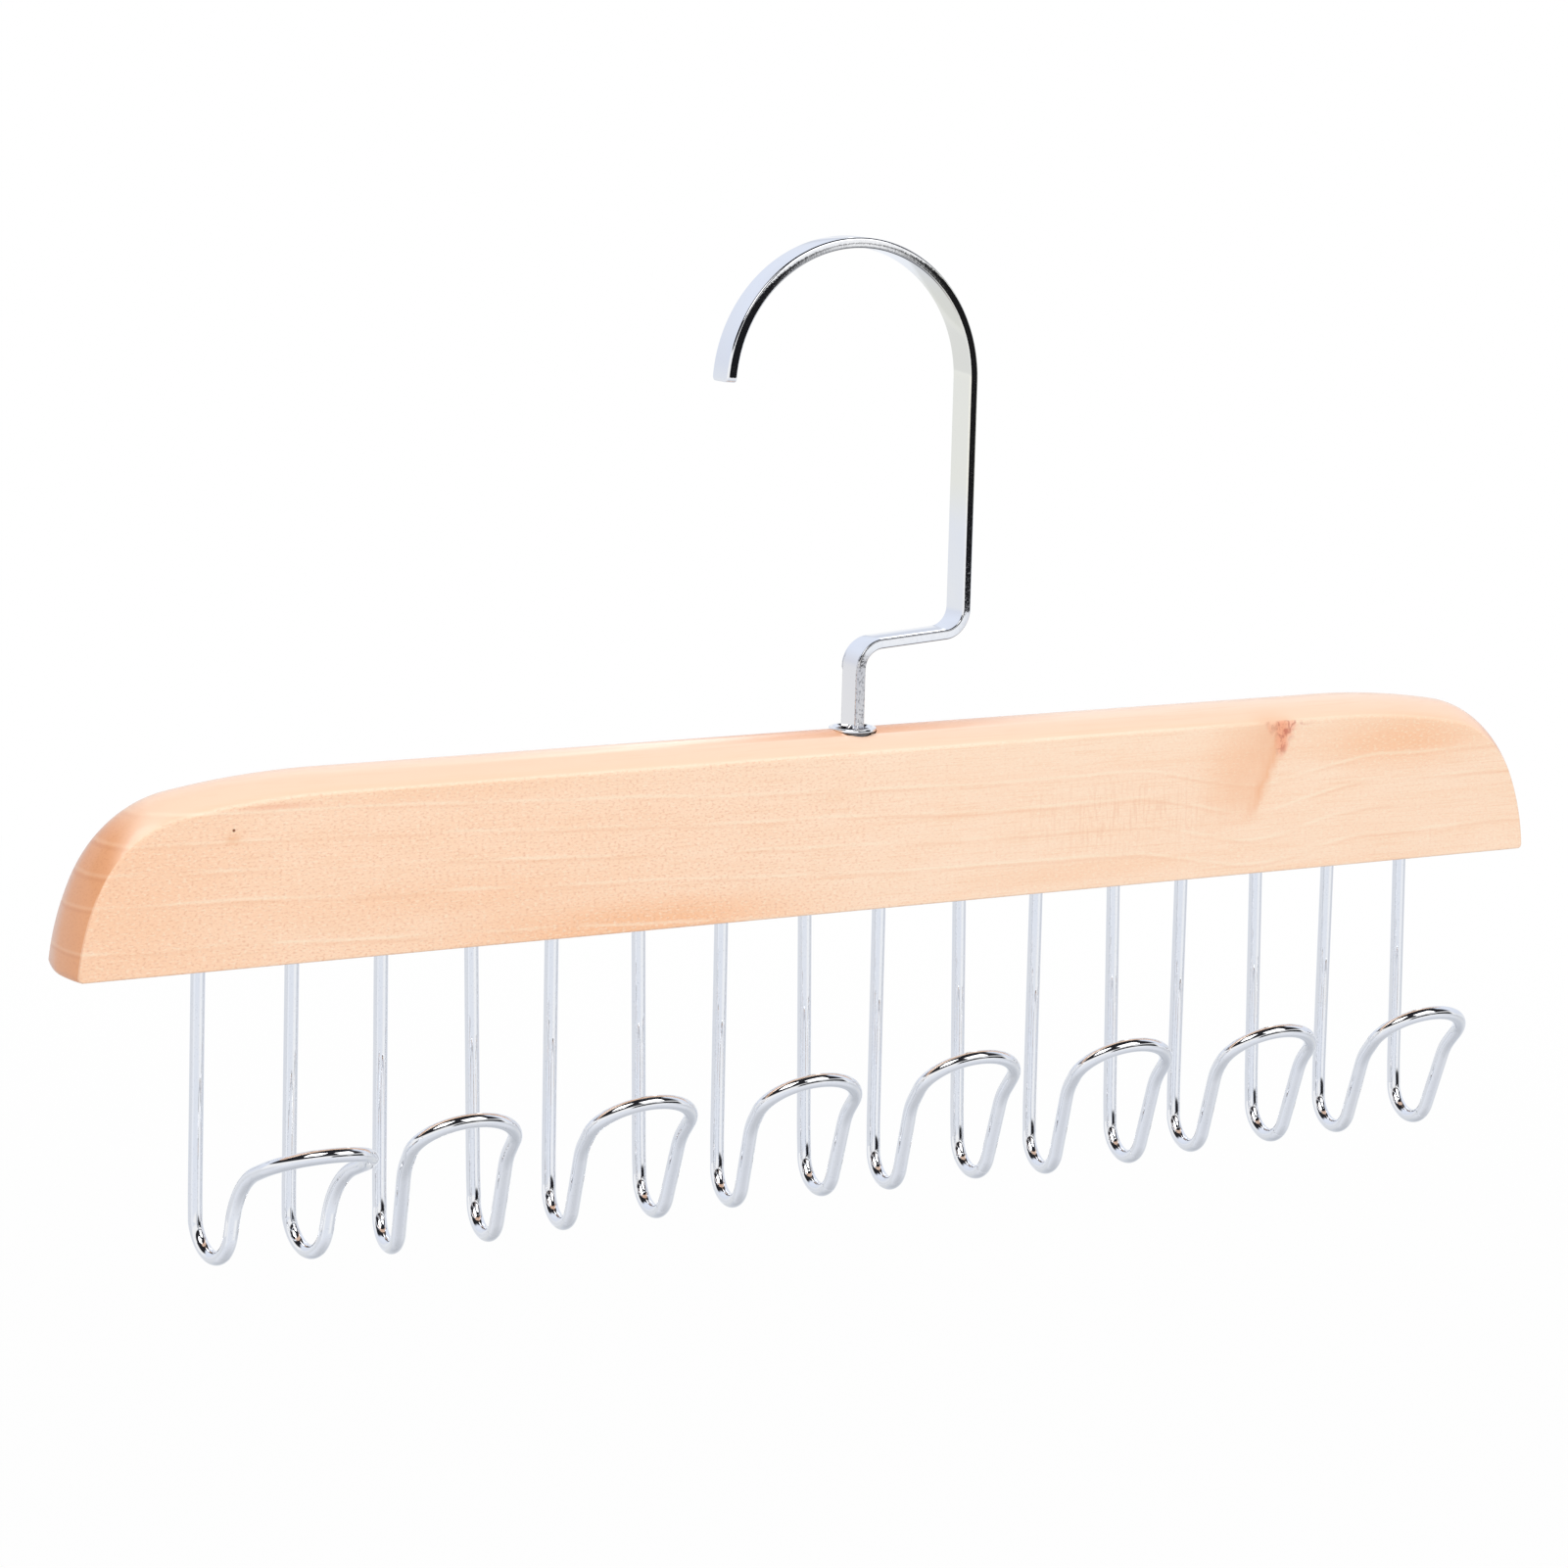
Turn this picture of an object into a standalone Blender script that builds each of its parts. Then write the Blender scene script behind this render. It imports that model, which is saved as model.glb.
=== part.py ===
"""Belt hanger: a varnished wooden bar, eight bent wire loops and a flat swivel hook.

Frame, in metres: X runs along the bar to the right, Y runs away from the
viewer, Z runs up. The origin is the seat of the rail, the middle of the
inside top of the hook's crook.
"""

import math
from collections import namedtuple

import bmesh
import bpy

# Hook: one flat strip, bent in the XZ plane, with a squeezed stem
CROOK_RADIUS = 0.0291
CROOK_TIP_LIFT = 0.0024
STRIP_WIDTH = 0.0071
STRIP_THICKNESS = 0.0022
STRIP_CORNER = 0.0004
TIP_ROUNDING = 0.0010
ARM_LENGTH = 0.0543
JOG_RISE = 0.0018
BEND_RADIUS = 0.0054
STEM_OFFSET = 0.0038
STEM_REACH = 0.0181
STEM_WIDTH = 0.0061
STEM_THICKNESS = 0.0024
STEM_SHOULDER = 0.0007
STEM_OFF_MIDDLE = 0.0010

# Bar: flat front and back, crowned edge
BAR_LENGTH = 0.3627
BAR_THICKNESS = 0.0160
FACE_HEIGHT = 0.0343
CROWN_RISE = 0.0043
END_CROWN_RISE = 0.0008
CROWN_SPREAD = 1.37
FOOT_RADIUS = 0.0010
END_LEAN = math.radians(5.4)
END_RADIUS = 0.0514
CORNER_LEAN = math.radians(24.1)
CORNER_RADIUS = 0.0246
SHOULDER_RADIUS = 0.1915
EDGE_ROUNDING = 0.0004

# Wire loops
LOOP_COUNT = 8
END_MARGIN = 0.0398
ROW_SHIFT = 0.0004
LEG_SPACING = 0.0208
WIRE_RADIUS = 0.0015
LEG_SEAT = 0.0140
LEG_DROP = 0.0540
LEG_SPLAY_SHARE = 0.010
LEG_DRIFT_SHARE = 0.015
FRONT_SPLAY_SHARE = 0.021
CURL_RADIUS = 0.0070
FRONT_LENGTH = 0.0136
FLARE_RADIUS = 0.0144
FRONT_REACH = 0.0503
NOSE_LENGTH = 0.0096
FRONT_LEAN = math.radians(21.9)
FLARE_ANGLE = math.radians(20.0)
FRONT_DRIFT_SHARE = -0.070

# By how much each loop, counted from the left, differs from the common one
PLACE_SHARES = (0, 0.012, -0.006, 0.010, -0.009, 0.008, -0.018, 0)
DROP_SHARES = (0, 0.008, 0, -0.003, 0.006, 0.024, 0.010, 0.006)
REACH_SHARES = (0, 0.007, 0.007, -0.006, 0.020, -0.010, -0.030, 0.005)
LEAN_SHARES = (0, 0.02, 0.08, -0.02, -0.06, -0.04, -0.02, 0.07)
DRIFT_SHARES = (0, 0.45, 0, 0, -0.10, 0.10, -0.15, -0.10)

# The loop at the left end, bent further out and a little askew
OUT_LEG_DROP = 0.0535
OUT_LEG_SPLAY_SHARE = 0.001
OUT_LEG_DRIFT_SHARE = -0.008
OUT_FRONT_SPLAY_SHARE = 0.010
OUT_CURL_RADIUS = 0.0064
OUT_FRONT_LENGTH = 0.0028
OUT_FLARE_RADIUS = 0.0136
OUT_FRONT_REACH = 0.0525
OUT_NOSE_LENGTH = 0.0117
OUT_FRONT_LEAN = math.radians(3.1)
OUT_FLARE_ANGLE = math.radians(62.4)
OUT_FRONT_DRIFT_SHARE = 0.113
OUT_TILT_SHARE = -0.055

# Ferrule let into the crown, washer and riveted head below it
FERRULE_RADIUS = 0.00505
RIM_THICKNESS = 0.0010
RIM_DEPTH = 0.00055
MOUTH_RADIUS = 0.0041
SLEEVE_RADIUS = 0.0044
SLEEVE_BORE = 0.0037
SLEEVE_LENGTH = 0.0068
FLOOR_THICKNESS = 0.0008
NECK_RADIUS = 0.0016
WASHER_RADIUS = 0.0036
WASHER_THICKNESS = 0.0006
HEAD_RADIUS = 0.0032
HEAD_THICKNESS = 0.0016
HEAD_ROUNDING = 0.0005
BORE_END_ROOM = 0.0012

# Clearance between pieces that touch, overrun of every cut, weld distance
CLEARANCE = 0.0003
OVERRUN = 0.002
WELD_DISTANCE = 0.00001

# Facet counts
BEND_STEPS = 7
CROOK_STEPS = 36
STRIP_CORNER_STEPS = 3
TIP_STEPS = 4
FOOT_STEPS = 3
END_STEPS = 4
CORNER_STEPS = 8
SHOULDER_STEPS = 5
CROWN_STEPS = 8
EDGE_STEPS = 2
TURN_STEPS = 32
HOLE_SIDES = 16
BORE_SIDES = 32
RIM_STEPS = 6
CURL_STEPS = 10
FLARE_STEPS = 4
NOSE_STEPS = 8
WIRE_BEVEL_RESOLUTION = 3

# Angles below which an edge is shaded smooth
STRIP_CREASE = math.radians(40)
BAR_CREASE = math.radians(25)
TURNED_CREASE = math.radians(40)

# Bend of a loop: its legs, its curl and front, and how far these splay, drift and tilt
Bend = namedtuple(
    "Bend",
    "drop leg_splay leg_drift curl lean straight flare_radius flare "
    "reach nose front_splay front_drift tilt",
)
COMMON_BEND = Bend(
    drop=LEG_DROP,
    leg_splay=LEG_SPLAY_SHARE,
    leg_drift=LEG_DRIFT_SHARE,
    curl=CURL_RADIUS,
    lean=FRONT_LEAN,
    straight=FRONT_LENGTH,
    flare_radius=FLARE_RADIUS,
    flare=FLARE_ANGLE,
    reach=FRONT_REACH,
    nose=NOSE_LENGTH,
    front_splay=FRONT_SPLAY_SHARE,
    front_drift=FRONT_DRIFT_SHARE,
    tilt=0,
)
OUT_BEND = Bend(
    drop=OUT_LEG_DROP,
    leg_splay=OUT_LEG_SPLAY_SHARE,
    leg_drift=OUT_LEG_DRIFT_SHARE,
    curl=OUT_CURL_RADIUS,
    lean=OUT_FRONT_LEAN,
    straight=OUT_FRONT_LENGTH,
    flare_radius=OUT_FLARE_RADIUS,
    flare=OUT_FLARE_ANGLE,
    reach=OUT_FRONT_REACH,
    nose=OUT_NOSE_LENGTH,
    front_splay=OUT_FRONT_SPLAY_SHARE,
    front_drift=OUT_FRONT_DRIFT_SHARE,
    tilt=OUT_TILT_SHARE,
)

# Places worked out from the sizes above
LOOP_PITCH = (BAR_LENGTH - 2 * END_MARGIN) / (LOOP_COUNT - 1)
ARM_X = CROOK_RADIUS + STRIP_THICKNESS / 2
ARM_CORNER_Z = -CROOK_RADIUS - ARM_LENGTH
STEM_CORNER_Z = ARM_CORNER_Z - JOG_RISE
BAR_TOP_Z = STEM_CORNER_Z - STEM_REACH
BAR_HEIGHT = FACE_HEIGHT + CROWN_RISE
RIM_TOP_Z = BAR_HEIGHT - RIM_DEPTH
SLEEVE_TOP_Z = RIM_TOP_Z - RIM_THICKNESS
SLEEVE_END_Z = SLEEVE_TOP_Z - SLEEVE_LENGTH
FLOOR_TOP_Z = SLEEVE_END_Z + FLOOR_THICKNESS
STEM_END_Z = FLOOR_TOP_Z + CLEARANCE
WASHER_TOP_Z = SLEEVE_END_Z - CLEARANCE
HEAD_TOP_Z = WASHER_TOP_Z - WASHER_THICKNESS - CLEARANCE
HEAD_END_Z = HEAD_TOP_Z - HEAD_THICKNESS
BORE_END_Z = HEAD_END_Z - BORE_END_ROOM


def clear_scene():
    """Remove whatever the scene holds."""
    for item in list(bpy.data.objects):
        bpy.data.objects.remove(item, do_unlink=True)


def new_collection(name):
    """Add a collection under the scene and return it."""
    collection = bpy.data.collections.new(name)
    bpy.context.scene.collection.children.link(collection)
    return collection


def principled(name, colour, roughness, metallic):
    """A plain Principled material."""
    material = bpy.data.materials.new(name)
    material.use_nodes = True
    shader = material.node_tree.nodes["Principled BSDF"]
    shader.inputs["Base Color"].default_value = (*colour, 1)
    shader.inputs["Roughness"].default_value = roughness
    shader.inputs["Metallic"].default_value = metallic
    material.diffuse_color = (*colour, 1)
    return material


def varnished_wood():
    """Pale clear-varnished wood."""
    return principled("varnished_wood", (0.83, 0.62, 0.43), 0.35, 0)


def chrome_plate():
    """Bright chrome plating."""
    return principled("chrome_plate", (0.80, 0.81, 0.84), 0.12, 1)


def zinc_plate():
    """Dull zinc plating."""
    return principled("zinc_plate", (0.62, 0.63, 0.65), 0.40, 1)


def add_object(name, data, collection, parent, location=(0, 0, 0)):
    """Put data in a collection as a named object."""
    item = bpy.data.objects.new(name, data)
    collection.objects.link(item)
    item.parent = parent
    item.location = location
    return item


def mesh_from(name, shape):
    """Turn a bmesh into a mesh whose faces point outward."""
    bmesh.ops.recalc_face_normals(shape, faces=shape.faces)
    mesh = bpy.data.meshes.new(name)
    shape.to_mesh(mesh)
    shape.free()
    return mesh


def dress(mesh, material, crease):
    """Give a mesh its material and smooth shading between creases."""
    mesh.materials.append(material)
    mesh.shade_smooth()
    mesh.set_sharp_from_angle(angle=crease)


def arc(centre, radius, start, end, steps):
    """Points on an arc in the XZ plane with the angle of each, start and end included."""
    points = []
    for step in range(steps + 1):
        angle = start + (end - start) * step / steps
        x = centre[0] + radius * math.cos(angle)
        z = centre[1] + radius * math.sin(angle)
        points.append((x, z, angle))
    return points


# Hook

def section(width, thickness, corner):
    """Ring of points round a rounded rectangle, as (across the strip, along Y)."""
    across = thickness / 2 - corner
    along = width / 2 - corner
    centres = ((across, along), (-across, along), (-across, -along), (across, -along))
    ring = []
    for quarter, centre in enumerate(centres):
        start = quarter * math.pi / 2
        for x, y, _ in arc(centre, corner, start, start + math.pi / 2, STRIP_CORNER_STEPS):
            ring.append((x, y))
    return ring


def round_section(radius):
    """Ring of points round a circle, matched point for point with section."""
    count = 4 * (STRIP_CORNER_STEPS + 1)
    return [
        (radius * math.cos(angle), radius * math.sin(angle))
        for angle in ((index + 0.5) * math.tau / count for index in range(count))
    ]


def lay(ring, x, z, heading):
    """Lay a ring square to the strip's path at one station."""
    return [
        (x + across * math.sin(heading), along, z - across * math.cos(heading))
        for across, along in ring
    ]


def strip_path():
    """Middle line of the strip as (x, z, heading), from the stem's bend to the tip."""
    turn = math.pi / 2 - math.atan2(JOG_RISE, ARM_X - STEM_OFFSET)
    setback = BEND_RADIUS * math.tan(turn / 2)
    stem_centre = (STEM_OFFSET + BEND_RADIUS, STEM_CORNER_Z - setback)
    arm_centre = (ARM_X - BEND_RADIUS, ARM_CORNER_Z + setback)
    tip = math.pi - math.asin(CROOK_TIP_LIFT / ARM_X)
    stem_bend = arc(stem_centre, BEND_RADIUS, math.pi, math.pi - turn, BEND_STEPS)
    arm_bend = arc(arm_centre, BEND_RADIUS, -turn, 0, BEND_STEPS)
    crook = arc((0, -CROOK_RADIUS), ARM_X, 0, tip, CROOK_STEPS)
    path = [(x, z, angle - math.pi / 2) for x, z, angle in stem_bend]
    path += [(x, z, angle + math.pi / 2) for x, z, angle in arm_bend + crook]
    return path


def stem_rings():
    """Rings up the stem: riveted head, round neck, squeezed stem, shoulder."""
    head = round_section(HEAD_RADIUS)
    crown = round_section(HEAD_RADIUS - HEAD_ROUNDING)
    neck = round_section(NECK_RADIUS)
    stem = section(STEM_WIDTH, STEM_THICKNESS, STRIP_CORNER)
    shoulder_z = strip_path()[0][1] - BAR_TOP_Z + BAR_HEIGHT - STEM_SHOULDER
    levels = (
        (crown, HEAD_END_Z),
        (head, HEAD_END_Z + HEAD_ROUNDING),
        (head, HEAD_TOP_Z),
        (neck, HEAD_TOP_Z),
        (neck, STEM_END_Z),
        (stem, STEM_END_Z),
        (stem, shoulder_z),
    )
    lift = BAR_TOP_Z - BAR_HEIGHT
    return [lay(ring, STEM_OFFSET, z + lift, math.pi / 2) for ring, z in levels]


def tip_rings():
    """Rings that round off the strip's end at the tip of the crook."""
    x, z, heading = strip_path()[-1]
    rings = []
    for step in range(1, TIP_STEPS + 1):
        angle = step / TIP_STEPS * math.pi / 2
        forward = TIP_ROUNDING * math.sin(angle)
        width = STRIP_WIDTH - 2 * TIP_ROUNDING * (1 - math.cos(angle))
        ring = section(width, STRIP_THICKNESS, STRIP_CORNER)
        tip_x = x + forward * math.cos(heading)
        tip_z = z + forward * math.sin(heading)
        rings.append(lay(ring, tip_x, tip_z, heading))
    return rings


def loft(name, rings):
    """Skin a row of rings with equal counts of points, and cap both ends."""
    shape = bmesh.new()
    rows = [[shape.verts.new(point) for point in ring] for ring in rings]
    count = len(rows[0])
    for lower, upper in zip(rows, rows[1:]):
        for index in range(count):
            after = (index + 1) % count
            shape.faces.new((lower[index], lower[after], upper[after], upper[index]))
    shape.faces.new(rows[0])
    shape.faces.new(rows[-1])
    return mesh_from(name, shape)


def make_hook(collection, parent, material):
    """The hook, lofted because its section changes from round to flat."""
    strip = section(STRIP_WIDTH, STRIP_THICKNESS, STRIP_CORNER)
    rings = stem_rings()
    rings += [lay(strip, x, z, heading) for x, z, heading in strip_path()]
    rings += tip_rings()
    mesh = loft("hook", rings)
    dress(mesh, material, STRIP_CREASE)
    return add_object("hook", mesh, collection, parent)


# Bar

def end_outline():
    """Left end of the front face from the underside up, as (x, z, angle of the normal).

    A small foot arc, the leaning end arc, the corner arc and the long shoulder
    arc touch in turn.
    """
    foot_x = -BAR_LENGTH / 2 + FOOT_RADIUS * math.cos(END_LEAN)
    end_x = foot_x + (END_RADIUS - FOOT_RADIUS) * math.cos(END_LEAN)
    end_z = FOOT_RADIUS - (END_RADIUS - FOOT_RADIUS) * math.sin(END_LEAN)
    corner_x = end_x - (END_RADIUS - CORNER_RADIUS) * math.cos(CORNER_LEAN)
    corner_z = end_z + (END_RADIUS - CORNER_RADIUS) * math.sin(CORNER_LEAN)
    shoulder_z = FACE_HEIGHT - SHOULDER_RADIUS
    more_radius = SHOULDER_RADIUS - CORNER_RADIUS
    shoulder_lean = math.asin((corner_z - shoulder_z) / more_radius)
    shoulder_x = corner_x + more_radius * math.cos(shoulder_lean)
    foot_start = math.pi * 3 / 2
    end_start = math.pi - END_LEAN
    corner_start = math.pi - CORNER_LEAN
    corner_end = math.pi - shoulder_lean
    top = math.pi / 2
    points = arc((foot_x, FOOT_RADIUS), FOOT_RADIUS, foot_start, end_start, FOOT_STEPS)
    points += arc((end_x, end_z), END_RADIUS, end_start, corner_start, END_STEPS)[1:]
    corner = (corner_x, corner_z)
    points += arc(corner, CORNER_RADIUS, corner_start, corner_end, CORNER_STEPS)[1:]
    shoulder = (shoulder_x, shoulder_z)
    points += arc(shoulder, SHOULDER_RADIUS, corner_end, top, SHOULDER_STEPS)[1:]
    return points


def crown_rise(lift_share, angle):
    """Rise over the front outline, where the share goes from 0 at a face to 1 midway."""
    up_share = math.sin(angle) ** CROWN_SPREAD
    return lift_share * (END_CROWN_RISE + (CROWN_RISE - END_CROWN_RISE) * up_share)


def bar_rows():
    """Closed outlines of the bar from front to back, on the crown's arc."""
    half = BAR_THICKNESS / 2
    radius = (CROWN_RISE ** 2 + half ** 2) / (2 * CROWN_RISE)
    reach = math.asin(half / radius)
    rows = []
    for step in range(CROWN_STEPS + 1):
        angle = reach * (2 * step / CROWN_STEPS - 1)
        lift_share = (radius * math.cos(angle) - radius + CROWN_RISE) / CROWN_RISE
        y = radius * math.sin(angle)
        left = []
        for x, z, normal in end_outline():
            outward = min(normal, math.pi)
            rise = crown_rise(lift_share, outward)
            left.append((x + rise * math.cos(outward), y, z + rise * math.sin(outward)))
        right = [(-x, y, z) for x, y, z in reversed(left)]
        rows.append(left + right)
    return rows


def bar_mesh():
    """The crowned bar, lofted through its thickness, with every long edge eased."""
    shape = bmesh.new()
    rows = [[shape.verts.new(point) for point in row] for row in bar_rows()]
    count = len(rows[0])
    for near, far in zip(rows, rows[1:]):
        for index in range(count):
            after = (index + 1) % count
            shape.faces.new((near[index], near[after], far[after], far[index]))
    front = shape.faces.new(rows[0])
    back = shape.faces.new(rows[-1])
    bmesh.ops.bevel(
        shape,
        geom=list(front.edges) + list(back.edges),
        offset=EDGE_ROUNDING,
        offset_type="OFFSET",
        segments=EDGE_STEPS,
        profile=0.5,
        affect="EDGES",
    )
    return mesh_from("bar", shape)


def loop_middle(index):
    """X of one loop's middle, measured from the bar's middle."""
    place_share = PLACE_SHARES[index % len(PLACE_SHARES)]
    return (index - (LOOP_COUNT - 1) / 2 + place_share) * LOOP_PITCH - ROW_SHIFT


def cylinder(shape, radius, x, low, high, sides):
    """Add a closed upright cylinder to a bmesh."""
    made = bmesh.ops.create_cone(
        shape,
        cap_ends=True,
        segments=sides,
        radius1=radius,
        radius2=radius,
        depth=high - low,
    )
    bmesh.ops.translate(shape, vec=(x, 0, (high + low) / 2), verts=made["verts"])


def cut(item, name, shape, cutters):
    """Subtract a bmesh from an object, and keep it as a hidden guide."""
    guide = add_object(name, mesh_from(name, shape), cutters, item)
    guide.hide_render = True
    guide.display_type = "WIRE"
    modifier = item.modifiers.new(name, "BOOLEAN")
    modifier.operation = "DIFFERENCE"
    modifier.solver = "EXACT"
    modifier.object = guide


def make_bar(collection, cutters, parent, material):
    """The wooden bar, with a blind hole for each leg and a stepped one for the ferrule."""
    mesh = bar_mesh()
    dress(mesh, material, BAR_CREASE)
    bar = add_object("bar", mesh, collection, parent, (-STEM_OFF_MIDDLE, 0, 0))
    legs = bmesh.new()
    for index in range(LOOP_COUNT):
        for side in (-1, 1):
            x = loop_middle(index) + side * LEG_SPACING / 2
            top = LEG_SEAT + CLEARANCE
            cylinder(legs, WIRE_RADIUS + CLEARANCE, x, -OVERRUN, top, HOLE_SIDES)
    cut(bar, "leg_holes", legs, cutters)
    over = BAR_HEIGHT + OVERRUN
    bore = bmesh.new()
    cylinder(bore, SLEEVE_RADIUS + CLEARANCE, STEM_OFF_MIDDLE, BORE_END_Z, over, BORE_SIDES)
    cut(bar, "ferrule_bore", bore, cutters)
    seat = bmesh.new()
    seat_low = SLEEVE_TOP_Z - CLEARANCE
    cylinder(seat, FERRULE_RADIUS + CLEARANCE, STEM_OFF_MIDDLE, seat_low, over, BORE_SIDES)
    cut(bar, "rim_seat", seat, cutters)
    return bar


# Turned pieces

def turned(name, profile, collection, parent, material):
    """Turn a closed profile of (radius, z), given down its outer side and up the inner."""
    shape = bmesh.new()
    points = [shape.verts.new((radius, 0, z)) for radius, z in profile]
    for index, point in enumerate(points):
        shape.edges.new((point, points[(index + 1) % len(points)]))
    mesh = bpy.data.meshes.new(name)
    shape.to_mesh(mesh)
    shape.free()
    mesh.materials.append(material)
    item = add_object(name, mesh, collection, parent)
    screw = item.modifiers.new("turn", "SCREW")
    screw.axis = "Z"
    screw.angle = math.tau
    screw.steps = TURN_STEPS
    screw.render_steps = TURN_STEPS
    screw.use_merge_vertices = True
    screw.merge_threshold = WELD_DISTANCE
    screw.use_smooth_shade = True
    return item


def make_ferrule(collection, parent, material):
    """A cup with a rolled rim, and a floor with a hole for the hook's neck."""
    rim = RIM_THICKNESS / 2
    hole = NECK_RADIUS + CLEARANCE
    rolled = arc((FERRULE_RADIUS - rim, RIM_TOP_Z - rim), rim, math.pi / 2, -math.pi / 2, RIM_STEPS)
    profile = [(radius, z) for radius, z, _ in rolled]
    profile += [
        (SLEEVE_RADIUS, SLEEVE_TOP_Z),
        (SLEEVE_RADIUS, SLEEVE_END_Z),
        (hole, SLEEVE_END_Z),
        (hole, FLOOR_TOP_Z),
        (SLEEVE_BORE, FLOOR_TOP_Z),
        (SLEEVE_BORE, SLEEVE_TOP_Z),
        (MOUTH_RADIUS, RIM_TOP_Z - rim / 2),
    ]
    return turned("ferrule", profile, collection, parent, material)


def make_washer(collection, parent, material):
    """The washer between the ferrule's floor and the riveted head."""
    hole = NECK_RADIUS + CLEARANCE
    under = WASHER_TOP_Z - WASHER_THICKNESS
    profile = [
        (WASHER_RADIUS, WASHER_TOP_Z),
        (WASHER_RADIUS, under),
        (hole, under),
        (hole, WASHER_TOP_Z),
    ]
    return turned("retaining_washer", profile, collection, parent, material)


# Wire loops

def bent(length, bend):
    """Point (y, z) of the bent wire seen from its side, at a length past the leg's end.

    The wire curls forward and up, runs straight while leaning forward, then
    flares further forward to its nose.
    """
    curled = min(length / bend.curl, math.pi - bend.lean)
    y = -bend.curl * (1 - math.cos(curled))
    z = -bend.drop - bend.curl * math.sin(curled)
    rest = length - curled * bend.curl
    straight = min(rest, bend.straight)
    y -= straight * math.sin(bend.lean)
    z += straight * math.cos(bend.lean)
    rest -= straight
    flared = min(rest / bend.flare_radius, bend.flare)
    lean = bend.lean + flared
    y -= bend.flare_radius * (math.cos(bend.lean) - math.cos(lean))
    z += bend.flare_radius * (math.sin(lean) - math.sin(bend.lean))
    rest -= flared * bend.flare_radius
    return y - rest * math.sin(lean), z + rest * math.cos(lean)


def half_loop(side, bend):
    """Left (-1) or right (1) half of a loop's middle line, from the leg's top to the nose."""
    curl_end = bend.curl * (math.pi - bend.lean)
    flare_start = curl_end + bend.straight
    nose_start = bend.reach - bend.nose
    places = [(curl_end * step / CURL_STEPS, 0) for step in range(CURL_STEPS + 1)]
    for step in range(FLARE_STEPS):
        length = flare_start + (nose_start - flare_start) * step / FLARE_STEPS
        places.append((length, 0))
    for step in range(NOSE_STEPS + 1):
        angle = step / NOSE_STEPS * math.pi / 2
        places.append((nose_start + bend.nose * math.sin(angle), angle))
    mouth = side * LEG_SPACING / 2
    leg_end = LEG_SPACING / 2 + bend.leg_splay * bend.drop
    points = [(mouth, 0, LEG_SEAT), (mouth, 0, 0)]
    for length, angle in places:
        across = side * (leg_end + bend.front_splay * length) * math.cos(angle)
        drift = bend.leg_drift * bend.drop + bend.front_drift * length
        y, z = bent(length, bend)
        points.append((across + drift, y, z + bend.tilt * across))
    return points


def loop_bend(index):
    """The bend of one loop: longer legs come with a longer front, so the noses stay in a row."""
    if index == 0:
        return OUT_BEND
    drop_more = DROP_SHARES[index % len(DROP_SHARES)] * LEG_DROP
    reach_more = REACH_SHARES[index % len(REACH_SHARES)] * FRONT_REACH
    lean_more = LEAN_SHARES[index % len(LEAN_SHARES)] * FRONT_LEAN
    drift_more = DRIFT_SHARES[index % len(DRIFT_SHARES)] * FRONT_DRIFT_SHARE
    return COMMON_BEND._replace(
        drop=LEG_DROP + drop_more,
        straight=FRONT_LENGTH + drop_more,
        reach=FRONT_REACH + drop_more + reach_more,
        lean=FRONT_LEAN + lean_more,
        front_drift=FRONT_DRIFT_SHARE + drift_more,
    )


def make_loop(index, collection, parent, material):
    """One loop: a hairpin of wire, curled forward and up, with a flared nose."""
    bend = loop_bend(index)
    right = half_loop(1, bend)
    left = half_loop(-1, bend)[-2::-1]
    name = f"belt_loop_{index + 1}"
    curve = bpy.data.curves.new(name, "CURVE")
    curve.dimensions = "3D"
    curve.bevel_depth = WIRE_RADIUS
    curve.bevel_resolution = WIRE_BEVEL_RESOLUTION
    curve.use_fill_caps = True
    curve.materials.append(material)
    spline = curve.splines.new("POLY")
    spline.points.add(len(right) + len(left) - 1)
    for target, point in zip(spline.points, right + left):
        target.co = (*point, 1)
    spline.use_smooth = True
    place = (loop_middle(index) - STEM_OFF_MIDDLE, 0, 0)
    return add_object(name, curve, collection, parent, place)


def build():
    """Model the whole hanger."""
    clear_scene()
    pieces = new_collection("belt_hanger")
    cutters = new_collection("cutters")
    wood = varnished_wood()
    chrome = chrome_plate()
    zinc = zinc_plate()
    seat = add_object("rail_seat", None, pieces, None)
    foot = (STEM_OFFSET, 0, BAR_TOP_Z - BAR_HEIGHT)
    swivel = add_object("swivel_axis", None, pieces, seat, foot)
    make_hook(pieces, seat, chrome)
    make_bar(pieces, cutters, swivel, wood)
    make_ferrule(pieces, swivel, chrome)
    make_washer(pieces, swivel, zinc)
    for index in range(LOOP_COUNT):
        make_loop(index, pieces, swivel, chrome)


build()
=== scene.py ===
"""Belt hanger: a varnished wooden bar, eight bent wire loops and a flat swivel hook.

All lengths are in metres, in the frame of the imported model: X along the bar to
the right, Y away from the viewer, Z up, and the origin where the rail bears in
the hook's crook.
"""

import math
from collections import namedtuple
from functools import reduce

import bmesh
import bpy
import numpy as np
from mathutils import Color, Matrix, Vector

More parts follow.
